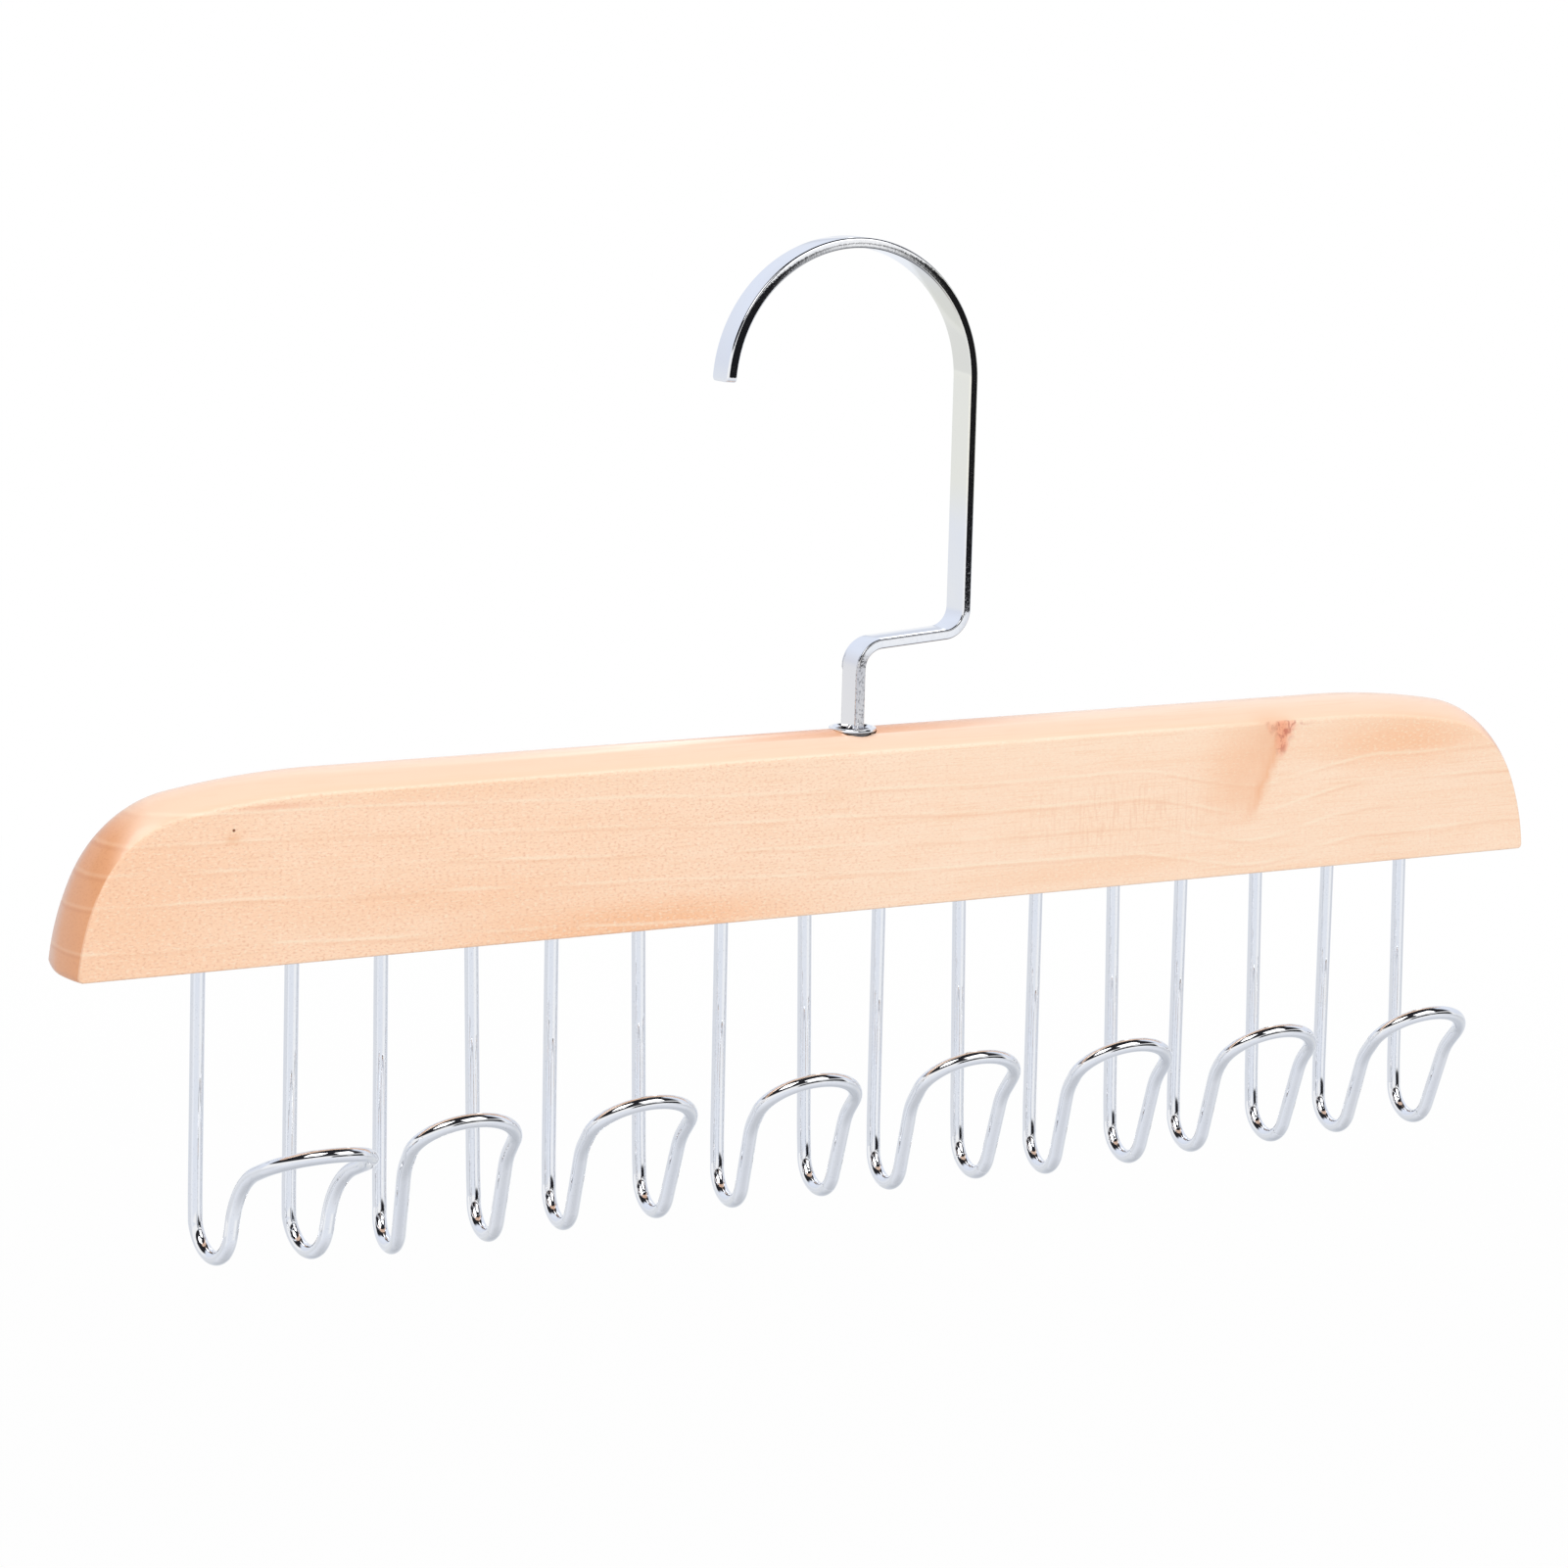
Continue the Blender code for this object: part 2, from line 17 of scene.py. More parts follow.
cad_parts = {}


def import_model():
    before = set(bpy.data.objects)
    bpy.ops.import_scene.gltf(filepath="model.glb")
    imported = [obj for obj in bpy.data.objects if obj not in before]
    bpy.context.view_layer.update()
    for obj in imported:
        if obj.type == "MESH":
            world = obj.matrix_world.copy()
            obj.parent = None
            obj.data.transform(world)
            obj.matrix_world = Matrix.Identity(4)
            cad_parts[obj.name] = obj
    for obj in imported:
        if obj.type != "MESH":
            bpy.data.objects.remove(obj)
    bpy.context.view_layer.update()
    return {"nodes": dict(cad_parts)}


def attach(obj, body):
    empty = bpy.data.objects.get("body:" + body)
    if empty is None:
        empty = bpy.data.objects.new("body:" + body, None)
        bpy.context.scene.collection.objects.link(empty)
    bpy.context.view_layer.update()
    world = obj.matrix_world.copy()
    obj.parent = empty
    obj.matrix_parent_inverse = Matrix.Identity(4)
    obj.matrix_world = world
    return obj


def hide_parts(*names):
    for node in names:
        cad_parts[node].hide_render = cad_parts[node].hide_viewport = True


# Camera
CAMERA_PLACE = (-0.5527, -0.8932, 0.0683)
CAMERA_AZIMUTH = math.radians(31.14)
CAMERA_DROP = math.radians(9.933)
CAMERA_ROLL = math.radians(1.463)
CAMERA_LENS = 113.60
CAMERA_SENSOR = 36.0
CAMERA_NEAR = 0.01
CAMERA_FAR = 50

# Hook
CROOK_RADIUS = 0.0291
CROOK_TIP_LIFT = 0.0024
STRIP_WIDTH = 0.0071
STRIP_THICKNESS = 0.0022
STRIP_CORNER = 0.0004
STRIP_SLANT = math.radians(8)
TIP_ROUNDING = 0.0010
ARM_LENGTH = 0.0543
JOG_RISE = 0.0018
BEND_RADIUS = 0.0054
STEM_OFFSET = 0.0038
STEM_REACH = 0.0181
STEM_WIDTH = 0.0061
STEM_THICKNESS = 0.0024
STEM_SHOULDER = 0.0007
STEM_OFF_MIDDLE = 0.0010
NECK_RADIUS = 0.0016
HEAD_RADIUS = 0.0032
HEAD_THICKNESS = 0.0016
HEAD_ROUNDING = 0.0005

# Bar
BAR_LENGTH = 0.3627
BAR_THICKNESS = 0.0160
FACE_HEIGHT = 0.0343
CROWN_RISE = 0.0043
END_CROWN_RISE = 0.0008
CROWN_SPREAD = 1.37
FOOT_RADIUS = 0.0010
END_LEAN = math.radians(5.4)
END_RADIUS = 0.0514
CORNER_LEAN = math.radians(24.1)
CORNER_RADIUS = 0.0246
SHOULDER_RADIUS = 0.1915
BACK_FOOT_RADIUS = 0.0027
EDGE_ROUNDING = 0.0004

# Loops
LOOP_COUNT = 8
END_MARGIN = 0.0398
ROW_SHIFT = 0.0004
LEG_SPACING = 0.0208
WIRE_RADIUS = 0.0015
LEG_SEAT = 0.0140
LEG_DROP = 0.0540
LEAD_LENGTH = 0.0075
LEAD_LEAN = math.radians(4.0)
FRONT_LENGTH = 0.0136
FRONT_REACH = 0.0503
FRONT_LEAN = math.radians(21.9)
FRONT_DRIFT_SHARE = -0.070

# By how much each loop, counted from the left, differs from the common one
PLACE_SHARES = (0, 0.012, -0.006, 0.010, -0.009, 0.008, -0.018, 0)
DROP_SHARES = (0, 0.008, 0, -0.003, 0.006, 0.024, 0.010, 0.006)
REACH_SHARES = (0, 0.007, 0.007, -0.006, 0.020, -0.010, -0.030, 0.005)
LEAN_SHARES = (0, 0.02, 0.08, -0.02, -0.06, -0.04, -0.02, 0.07)
DRIFT_SHARES = (0, 0.45, 0, 0, -0.10, 0.10, -0.15, -0.10)

# Bend of a loop: its legs, its curl and front, and how far these splay, drift and tilt
Bend = namedtuple(
    "Bend",
    "drop leg_splay leg_drift curl lean straight flare_radius flare "
    "reach nose front_splay front_drift tilt",
)
COMMON_BEND = Bend(
    drop=LEG_DROP,
    leg_splay=0.010,
    leg_drift=0.015,
    curl=0.0070,
    lean=FRONT_LEAN,
    straight=FRONT_LENGTH,
    flare_radius=0.0144,
    flare=math.radians(20.0),
    reach=FRONT_REACH,
    nose=0.0096,
    front_splay=0.021,
    front_drift=FRONT_DRIFT_SHARE,
    tilt=0,
)
OUT_BEND = Bend(
    drop=0.0535,
    leg_splay=0.001,
    leg_drift=-0.008,
    curl=0.0064,
    lean=math.radians(3.1),
    straight=0.0028,
    flare_radius=0.0136,
    flare=math.radians(62.4),
    reach=0.0525,
    nose=0.0117,
    front_splay=0.010,
    front_drift=0.113,
    tilt=-0.055,
)

# Ferrule, washer and riveted head
FERRULE_RADIUS = 0.00515
RIM_THICKNESS = 0.0009
RIM_LIFT = 0.0003
RIM_ROUNDING = 0.0002
RIM_BEVEL = 0.0003
MOUTH_RADIUS = 0.0041
SLEEVE_RADIUS = 0.0044
SLEEVE_BORE = 0.0037
SLEEVE_LENGTH = 0.00775
FLOOR_THICKNESS = 0.0008
WASHER_THICKNESS = 0.0006
BORE_END_ROOM = 0.0012
CLEARANCE = 0.0003
OVERRUN = 0.002

# Places worked out from the sizes above
LOOP_PITCH = (BAR_LENGTH - 2 * END_MARGIN) / (LOOP_COUNT - 1)
ARM_X = CROOK_RADIUS + STRIP_THICKNESS / 2
ARM_CORNER_Z = -CROOK_RADIUS - ARM_LENGTH
STEM_CORNER_Z = ARM_CORNER_Z - JOG_RISE
BAR_TOP_Z = STEM_CORNER_Z - STEM_REACH
BAR_UNDERSIDE_Z = BAR_TOP_Z - FACE_HEIGHT - CROWN_RISE
BAR_MIDDLE_X = STEM_OFFSET - STEM_OFF_MIDDLE
RIM_TOP_Z = BAR_TOP_Z + RIM_LIFT
SLEEVE_TOP_Z = RIM_TOP_Z - RIM_THICKNESS
SLEEVE_END_Z = SLEEVE_TOP_Z - SLEEVE_LENGTH
FLOOR_TOP_Z = SLEEVE_END_Z + FLOOR_THICKNESS
STEM_END_Z = FLOOR_TOP_Z + CLEARANCE
HEAD_TOP_Z = SLEEVE_END_Z - 2 * CLEARANCE - WASHER_THICKNESS
HEAD_END_Z = HEAD_TOP_Z - HEAD_THICKNESS
BORE_END_Z = HEAD_END_Z - BORE_END_ROOM

MILLIMETRES = 1000

# Into how many steps round lines are divided
SECTION_STEPS = 6
BEND_STEPS = 18
CROOK_STEPS = 140
FOOT_RUN_STEPS = 16
FOOT_STEPS = 10
END_STEPS = 20
CORNER_STEPS = 40
RIM_STEPS = 6
RING_STEPS = 96
NOSE_STEPS = 60
LEG_STEPS = 160

# Edges that bend by more than these angles are not shaded smooth
WOOD_SMOOTHING = math.radians(30)
METAL_SMOOTHING = math.radians(40)
WIRE_SMOOTHING = math.radians(50)


# Surfaces

def change_mesh(mesh, change):
    """Change a mesh by a function of its editable shape."""
    shape = bmesh.new()
    shape.from_mesh(mesh)
    change(shape)
    shape.to_mesh(mesh)
    shape.free()


def face_outward(shape):
    """Turn all faces outward."""
    bmesh.ops.recalc_face_normals(shape, faces=shape.faces)


def mesh_object(name, points, faces, material, smooth_angle):
    """Make a mesh object at the origin, shaded smooth below an angle."""
    mesh = bpy.data.meshes.new(name)
    mesh.from_pydata(points.tolist(), [], faces)
    change_mesh(mesh, face_outward)
    mesh.materials.append(material)
    mesh.shade_smooth()
    mesh.set_sharp_from_angle(angle=smooth_angle)
    item = bpy.data.objects.new(name, mesh)
    bpy.context.scene.collection.objects.link(item)
    return item


def store_share(mesh, name, values):
    """Store a share on each point for the materials to read."""
    share = mesh.attributes.new(name, "FLOAT", "POINT")
    share.data.foreach_set("value", values)


def grid_faces(rows, columns, wrap_rows=False):
    """Faces of a grid whose rows close on themselves, row by row."""
    point = np.arange(rows * columns).reshape(rows, columns)
    beside = np.roll(point, -1, 1)
    faces = np.stack([point, beside, np.roll(beside, -1, 0), np.roll(point, -1, 0)], -1)
    return faces[:rows if wrap_rows else rows - 1].reshape(-1, 4)


def skin(name, rings, material, smooth_angle):
    """Skin rings of points, given as an array (ring, point, 3), and cap both ends."""
    rows, columns, _ = rings.shape
    faces = grid_faces(rows, columns).tolist()
    faces.append(list(range(columns)))
    faces.append(list(range((rows - 1) * columns, rows * columns)))
    return mesh_object(name, rings.reshape(-1, 3), faces, material, smooth_angle)


def revolve(name, profile, centre, material, steps, smooth_angle):
    """Turn a closed profile (radius, z) about the upright line through centre.

    Point (i, j) is centre + (r_i cos a_j, r_i sin a_j, z_i).
    """
    profile = np.array(profile)
    angle = np.arange(steps) / steps * math.tau
    points = np.empty((len(profile), steps, 3))
    points[..., 0] = centre[0] + profile[:, :1] * np.cos(angle)
    points[..., 1] = centre[1] + profile[:, :1] * np.sin(angle)
    points[..., 2] = centre[2] + profile[:, 1:]
    faces = grid_faces(len(profile), steps, wrap_rows=True).tolist()
    return mesh_object(name, points.reshape(-1, 3), faces, material, smooth_angle)


def arc(centre, radius, start, end, steps):
    """Array of (x, z, angle) along an arc, both ends included."""
    angle = np.linspace(start, end, steps + 1)
    x = centre[0] + radius * np.cos(angle)
    z = centre[1] + radius * np.sin(angle)
    return np.stack([x, z, angle], -1)


# Hook

def section(width, thickness, corner, slant=0):
    """Ring round a rounded rectangle, as rows (across the strip, along Y).

    With a slant the narrow edges lean towards the outer side by that angle.
    """
    across = thickness / 2 - corner
    along = width / 2 - corner
    centres = ((across, along), (-across, along), (-across, -along), (across, -along))
    starts = np.arange(len(centres)) * math.pi / 2
    quarters = [
        arc(centre, corner, start, start + math.pi / 2, SECTION_STEPS)
        for centre, start in zip(centres, starts)
    ]
    ring = np.concatenate(quarters)[:, :2]
    ring[:, 1] -= np.sign(ring[:, 1]) * (ring[:, 0] + thickness / 2) * math.tan(slant)
    return ring


def round_section(radius, count):
    """Ring round a circle, matched point for point with section."""
    angle = (np.arange(count) + 0.5) * math.tau / count
    return radius * np.stack([np.cos(angle), np.sin(angle)], -1)


def lay(rings, path):
    """Lay one ring square to each station of a path of (x, z, heading).

    A ring's point (a, y) goes to (x + a sin h, y, z - a cos h).
    """
    x, z, heading = (path[:, None, column] for column in range(3))
    across = rings[..., 0]
    along = np.broadcast_to(rings[..., 1], (len(path), rings.shape[-2]))
    return np.stack([x + across * np.sin(heading), along, z - across * np.cos(heading)], -1)


def strip_path():
    """Middle line of the strip from the stem's bend to the crook's tip."""
    turn = math.pi / 2 - math.atan2(JOG_RISE, ARM_X - STEM_OFFSET)
    setback = BEND_RADIUS * math.tan(turn / 2)
    stem_centre = (STEM_OFFSET + BEND_RADIUS, STEM_CORNER_Z - setback)
    arm_centre = (ARM_X - BEND_RADIUS, ARM_CORNER_Z + setback)
    tip = math.pi - math.asin(CROOK_TIP_LIFT / ARM_X)
    stem_bend = arc(stem_centre, BEND_RADIUS, math.pi, math.pi - turn, BEND_STEPS)
    stem_bend[:, 2] -= math.pi / 2
    arm_bend = arc(arm_centre, BEND_RADIUS, -turn, 0, BEND_STEPS)
    arm_bend[:, 2] += math.pi / 2
    crook = arc((0, -CROOK_RADIUS), ARM_X, 0, tip, CROOK_STEPS)
    crook[:, 2] += math.pi / 2
    return np.concatenate([stem_bend, arm_bend, crook])


def painted_edge_reflection_share(path):
    """Share of each ring's point that lies on a corner, where the strip runs level, for painted
    dark reflection lines.
    """
    corner = np.tile(np.sin(np.linspace(0, math.pi, SECTION_STEPS + 1)), 4)
    return np.abs(np.cos(path[:, 2:])) * corner


def stem_rings():
    """Rings up the stem: riveted head, round neck, squeezed stem, shoulder."""
    stem = section(STEM_WIDTH, STEM_THICKNESS, STRIP_CORNER)
    count = len(stem)
    head = round_section(HEAD_RADIUS, count)
    crown = round_section(HEAD_RADIUS - HEAD_ROUNDING, count)
    neck = round_section(NECK_RADIUS, count)
    levels = (
        (crown, HEAD_END_Z),
        (head, HEAD_END_Z + HEAD_ROUNDING),
        (head, HEAD_TOP_Z),
        (neck, HEAD_TOP_Z),
        (neck, STEM_END_Z),
        (stem, STEM_END_Z),
        (stem, strip_path()[0, 1] - STEM_SHOULDER),
    )
    path = np.array([(STEM_OFFSET, z, math.pi / 2) for _, z in levels])
    return lay(np.array([ring for ring, _ in levels]), path)


def tip_rings(steps=8):
    """Rings that round off the strip's end at the tip of the crook."""
    x, z, heading = strip_path()[-1]
    rings = []
    places = []
    for angle in np.arange(1, steps + 1) / steps * math.pi / 2:
        forward = TIP_ROUNDING * math.sin(angle)
        width = STRIP_WIDTH - 2 * TIP_ROUNDING * (1 - math.cos(angle))
        rings.append(section(width, STRIP_THICKNESS, STRIP_CORNER, STRIP_SLANT))
        places.append((x + forward * math.cos(heading), z + forward * math.sin(heading), heading))
    return lay(np.array(rings), np.array(places))


def make_hook(chrome):
    """The flat strip hook, skinned from its riveted head to the tip of the crook."""
    strip = section(STRIP_WIDTH, STRIP_THICKNESS, STRIP_CORNER, STRIP_SLANT)
    path = strip_path()
    body = lay(np.broadcast_to(strip, (len(path), *strip.shape)), path)
    stem = stem_rings()
    rings = np.concatenate([stem, body, tip_rings()])
    hook = skin("strip_hook", rings, chrome, METAL_SMOOTHING)
    share = np.zeros(len(hook.data.vertices))
    start = stem.shape[0] * stem.shape[1]
    # Corner shares that place the painted dark reflection lines
    share[start:start + body.shape[0] * body.shape[1]] = painted_edge_reflection_share(path).ravel()
    store_share(hook.data, "painted_edge_reflection_share", share)
    return hook


# Bar

def end_outline():
    """Left end of the front face from the underside up, as (x, z, angle of the normal).

    A small foot arc, the leaning end arc, the corner arc and the long shoulder
    arc touch in turn.
    """
    foot_x = -BAR_LENGTH / 2 + FOOT_RADIUS * math.cos(END_LEAN)
    end_x = foot_x + (END_RADIUS - FOOT_RADIUS) * math.cos(END_LEAN)
    end_z = FOOT_RADIUS - (END_RADIUS - FOOT_RADIUS) * math.sin(END_LEAN)
    corner_x = end_x - (END_RADIUS - CORNER_RADIUS) * math.cos(CORNER_LEAN)
    corner_z = end_z + (END_RADIUS - CORNER_RADIUS) * math.sin(CORNER_LEAN)
    shoulder_z = FACE_HEIGHT - SHOULDER_RADIUS
    more_radius = SHOULDER_RADIUS - CORNER_RADIUS
    shoulder_lean = math.asin((corner_z - shoulder_z) / more_radius)
    shoulder_x = corner_x + more_radius * math.cos(shoulder_lean)
    end_start = math.pi - END_LEAN
    corner_start = math.pi - CORNER_LEAN
    corner_end = math.pi - shoulder_lean
    run_start = foot_x + 2 * BACK_FOOT_RADIUS
    run_x = np.linspace(run_start, foot_x, FOOT_RUN_STEPS, endpoint=False)
    run = np.stack([run_x, np.zeros_like(run_x), np.full_like(run_x, math.pi * 3 / 2)], -1)
    foot = arc((foot_x, FOOT_RADIUS), FOOT_RADIUS, math.pi * 3 / 2, end_start, FOOT_STEPS)
    end = arc((end_x, end_z), END_RADIUS, end_start, corner_start, END_STEPS)
    corner_centre = (corner_x, corner_z)
    corner = arc(corner_centre, CORNER_RADIUS, corner_start, corner_end, CORNER_STEPS)
    shoulder_centre = (shoulder_x, shoulder_z)
    shoulder = arc(shoulder_centre, SHOULDER_RADIUS, corner_end, math.pi / 2, CORNER_STEPS)
    return np.concatenate([run, foot, end[1:], corner[1:], shoulder[1:]])


def round_foot(x, z, back_share):
    """Draw the lower corner in to a larger circle, from none midway to fully at the back.

    A point p beyond the circle's centre c goes to c + (p - c) min(1, r / |p - c|).
    """
    off_x = np.minimum(x + BAR_LENGTH / 2 - BACK_FOOT_RADIUS, 0)
    off_z = np.minimum(z - BACK_FOOT_RADIUS, 0)
    away = np.hypot(off_x, off_z)
    draw = back_share * (1 - np.minimum(1, BACK_FOOT_RADIUS / np.maximum(away, FOOT_RADIUS)))
    return x - off_x * draw, z - off_z * draw


def bar_rings(steps=32):
    """Closed outlines of the bar from its front to its back.

    The rise over the front outline follows a circle's arc across the
    thickness. It is full where the outline faces up and nearly none at the
    ends: rise = arc * (end + (crown - end) * sin(n) ** spread).
    """
    half = BAR_THICKNESS / 2
    radius = (CROWN_RISE ** 2 + half ** 2) / (2 * CROWN_RISE)
    across = math.asin(half / radius) * np.linspace(-1, 1, steps + 1)
    lift_share = ((radius * np.cos(across) - radius + CROWN_RISE) / CROWN_RISE)[:, None]
    x, z, normal = end_outline().T
    outward = np.minimum(normal, math.pi)
    up_share = np.maximum(np.sin(outward), 0) ** CROWN_SPREAD
    rise = lift_share * (END_CROWN_RISE + (CROWN_RISE - END_CROWN_RISE) * up_share)
    back_share = np.maximum(np.sin(across)[:, None] * radius / half, 0) ** 2
    left_x, left_z = round_foot(x, z, back_share)
    left_x = left_x + rise * np.cos(outward)
    left_z = left_z + rise * np.sin(outward)
    ring_x = BAR_MIDDLE_X + np.concatenate([left_x, -left_x[:, ::-1]], 1)
    ring_z = BAR_UNDERSIDE_Z + np.concatenate([left_z, left_z[:, ::-1]], 1)
    ring_y = np.broadcast_to(radius * np.sin(across)[:, None], ring_x.shape)
    return np.stack([ring_x, ring_y, ring_z], -1)


def largest_faces(shape):
    """The flat front and back of the bar."""
    shape.faces.ensure_lookup_table()
    return sorted(shape.faces, key=lambda face: face.calc_area())[-2:]


def ease_edges(shape):
    """Round the edges round the flat front and back of the bar."""
    bmesh.ops.bevel(
        shape,
        geom=[edge for face in largest_faces(shape) for edge in face.edges],
        offset=EDGE_ROUNDING,
        offset_type="OFFSET",
        segments=4,
        profile=0.5,
        affect="EDGES",
    )


def drill(item, places):
    """Cut round holes, given as (radius, x, low, high), all along Z."""
    shape = bmesh.new()
    for radius, x, low, high in places:
        made = bmesh.ops.create_cone(
            shape, cap_ends=True, segments=48, radius1=radius, radius2=radius, depth=high - low
        )
        bmesh.ops.translate(shape, vec=(x, 0, (high + low) / 2), verts=made["verts"])
    mesh = bpy.data.meshes.new("holes")
    shape.to_mesh(mesh)
    shape.free()
    holes = bpy.data.objects.new("holes", mesh)
    bpy.context.scene.collection.objects.link(holes)
    modifier = item.modifiers.new("holes", "BOOLEAN")
    modifier.operation = "DIFFERENCE"
    modifier.solver = "EXACT"
    modifier.object = holes
    graph = bpy.context.evaluated_depsgraph_get()
    drilled = bpy.data.meshes.new_from_object(item.evaluated_get(graph))
    item.modifiers.clear()
    item.data = drilled
    bpy.data.objects.remove(holes)


def keep_flat(shape):
    """Keep the flat front and back of the bar out of the smooth shading."""
    for face in largest_faces(shape):
        for edge in face.edges:
            edge.smooth = False


def mark_ends(mesh):
    """Store on each point how far the surface there faces along the bar."""
    normals = np.empty(len(mesh.vertices) * 3)
    mesh.vertices.foreach_get("normal", normals)
    store_share(mesh, "end_share", np.abs(normals.reshape(-1, 3)[:, 0]))


def loop_middle(index):
    """X of one loop's middle."""
    place = (index - (LOOP_COUNT - 1) / 2 + PLACE_SHARES[index]) * LOOP_PITCH
    return BAR_MIDDLE_X - ROW_SHIFT + place


def make_bar(wood):
    """The crowned wooden bar, drilled for the legs and for the ferrule."""
    bar = skin("wooden_bar", bar_rings(), wood, WOOD_SMOOTHING)
    change_mesh(bar.data, ease_edges)
    leg_hole = WIRE_RADIUS + CLEARANCE / 2
    over = BAR_TOP_Z + OVERRUN
    places = [
        (
            leg_hole,
            loop_middle(index) + side * LEG_SPACING / 2,
            BAR_UNDERSIDE_Z - OVERRUN,
            BAR_UNDERSIDE_Z + LEG_SEAT,
        )
        for index in range(LOOP_COUNT)
        for side in (-1, 1)
    ]
    drill(bar, places)
    drill(bar, [(SLEEVE_RADIUS + CLEARANCE, STEM_OFFSET, BORE_END_Z, over)])
    drill(bar, [(FERRULE_RADIUS + CLEARANCE / 3, STEM_OFFSET, SLEEVE_TOP_Z - CLEARANCE, over)])
    bar.data.shade_smooth()
    bar.data.set_sharp_from_angle(angle=WOOD_SMOOTHING)
    change_mesh(bar.data, keep_flat)
    mark_ends(bar.data)
    return bar


# Turned pieces

def make_ferrule(chrome):
    """A cup with a flat rim, and a floor with a hole for the hook's neck."""
    hole = NECK_RADIUS + CLEARANCE
    turn_x = FERRULE_RADIUS - RIM_ROUNDING
    upper = arc((turn_x, -RIM_ROUNDING), RIM_ROUNDING, math.pi / 2, 0, RIM_STEPS)
    lower_centre = (turn_x, RIM_ROUNDING - RIM_THICKNESS)
    lower = arc(lower_centre, RIM_ROUNDING, 0, -math.pi / 2, RIM_STEPS)
    profile = [(MOUTH_RADIUS + RIM_BEVEL, 0)]
    profile += np.concatenate([upper, lower])[:, :2].tolist()
    profile += [
        (SLEEVE_RADIUS, SLEEVE_TOP_Z - RIM_TOP_Z),
        (SLEEVE_RADIUS, SLEEVE_END_Z - RIM_TOP_Z),
        (hole, SLEEVE_END_Z - RIM_TOP_Z),
        (hole, FLOOR_TOP_Z - RIM_TOP_Z),
        (SLEEVE_BORE, FLOOR_TOP_Z - RIM_TOP_Z),
        (SLEEVE_BORE, SLEEVE_TOP_Z - RIM_TOP_Z),
        (MOUTH_RADIUS, -RIM_THICKNESS / 2),
    ]
    centre = (STEM_OFFSET, 0, RIM_TOP_Z)
    return revolve("stem_ferrule", profile, centre, chrome, RING_STEPS, METAL_SMOOTHING)


# Loops

def loop_bend(index):
    """The bend of one loop: longer legs come with a longer front, so the noses stay in a row."""
    if index == 0:
        return OUT_BEND
    drop_more = DROP_SHARES[index] * LEG_DROP
    return COMMON_BEND._replace(
        drop=LEG_DROP + drop_more,
        straight=FRONT_LENGTH + drop_more,
        reach=FRONT_REACH * (1 + REACH_SHARES[index]) + drop_more,
        lean=FRONT_LEAN * (1 + LEAN_SHARES[index]),
        front_drift=FRONT_DRIFT_SHARE * (1 + DRIFT_SHARES[index]),
    )


def bent(length, bend):
    """Side view (y, z, ny, nz) of the bent wire at lengths past the leg's end.

    It curls forward and up on a circle, runs straight at a lean, then flares on
    a second circle; (ny, nz) is the unit normal of the sheet it lies in.
    """
    curled = np.clip(length / bend.curl, 0, math.pi - bend.lean)
    rest = length - curled * bend.curl
    straight = np.clip(rest, 0, bend.straight)
    rest = rest - straight
    flared = np.clip(rest / bend.flare_radius, 0, bend.flare)
    rest = rest - flared * bend.flare_radius
    lean = bend.lean + flared
    y = -bend.curl * (1 - np.cos(curled)) - straight * math.sin(bend.lean)
    y = y - bend.flare_radius * (math.cos(bend.lean) - np.cos(lean)) - rest * np.sin(lean)
    z = -bend.drop - bend.curl * np.sin(curled) + straight * math.cos(bend.lean)
    z = z + bend.flare_radius * (np.sin(lean) - math.sin(bend.lean)) + rest * np.cos(lean)
    turned = curled - flared
    return y, z, np.cos(turned), np.sin(turned)


def half_loop(side, bend, steps=240):
    """Half of a loop's middle line with the sheet's normal at each point.

    The leg runs straight from the bar's underside, and its last stretch leads
    into the curl on a parabola. Past it the point at length s is
    (side (a + f s) cos c + d, y(s), z(s) + tilt * across), where c closes the
    nose and d is the drift.
    """
    straight_start = bend.reach - bend.nose
    length = np.linspace(LEAD_LEAN * bend.curl, straight_start, steps)
    angle = np.linspace(0, math.pi / 2, NOSE_STEPS)[1:]
    closing = np.concatenate([np.ones(steps), np.cos(angle)])
    length = np.concatenate([length, straight_start + bend.nose * np.sin(angle)])
    leg_end = LEG_SPACING / 2 + bend.leg_splay * bend.drop
    across = side * (leg_end + bend.front_splay * length) * closing
    y, z, ny, nz = bent(length, bend)
    x = across + bend.leg_drift * bend.drop + bend.front_drift * length
    front = np.stack([x, y, z + bend.tilt * across, ny, nz], -1)
    mouth = np.array([side * LEG_SPACING / 2, 0, 0, 1, 0])
    top = mouth + np.array([0, 0, LEG_SEAT, 0, 0])
    down = np.linspace(0, 1, LEG_STEPS)[:-1, None]
    leg = mouth + (front[0] - mouth) * down
    leg[:, 1] = 0
    led = np.maximum(leg[:, 2] - front[0, 2], 0)
    led = np.maximum(LEAD_LENGTH - led, 0) / LEAD_LENGTH
    leg[:, 1] = -LEAD_LENGTH * math.tan(LEAD_LEAN) / 2 * led ** 2
    leg[:, 3] = np.cos(LEAD_LEAN * led)
    leg[:, 4] = np.sin(LEAD_LEAN * led)
    front[:, 1] -= LEAD_LENGTH * math.tan(LEAD_LEAN) / 2 + front[0, 1]
    return np.concatenate([top[None], leg, front])


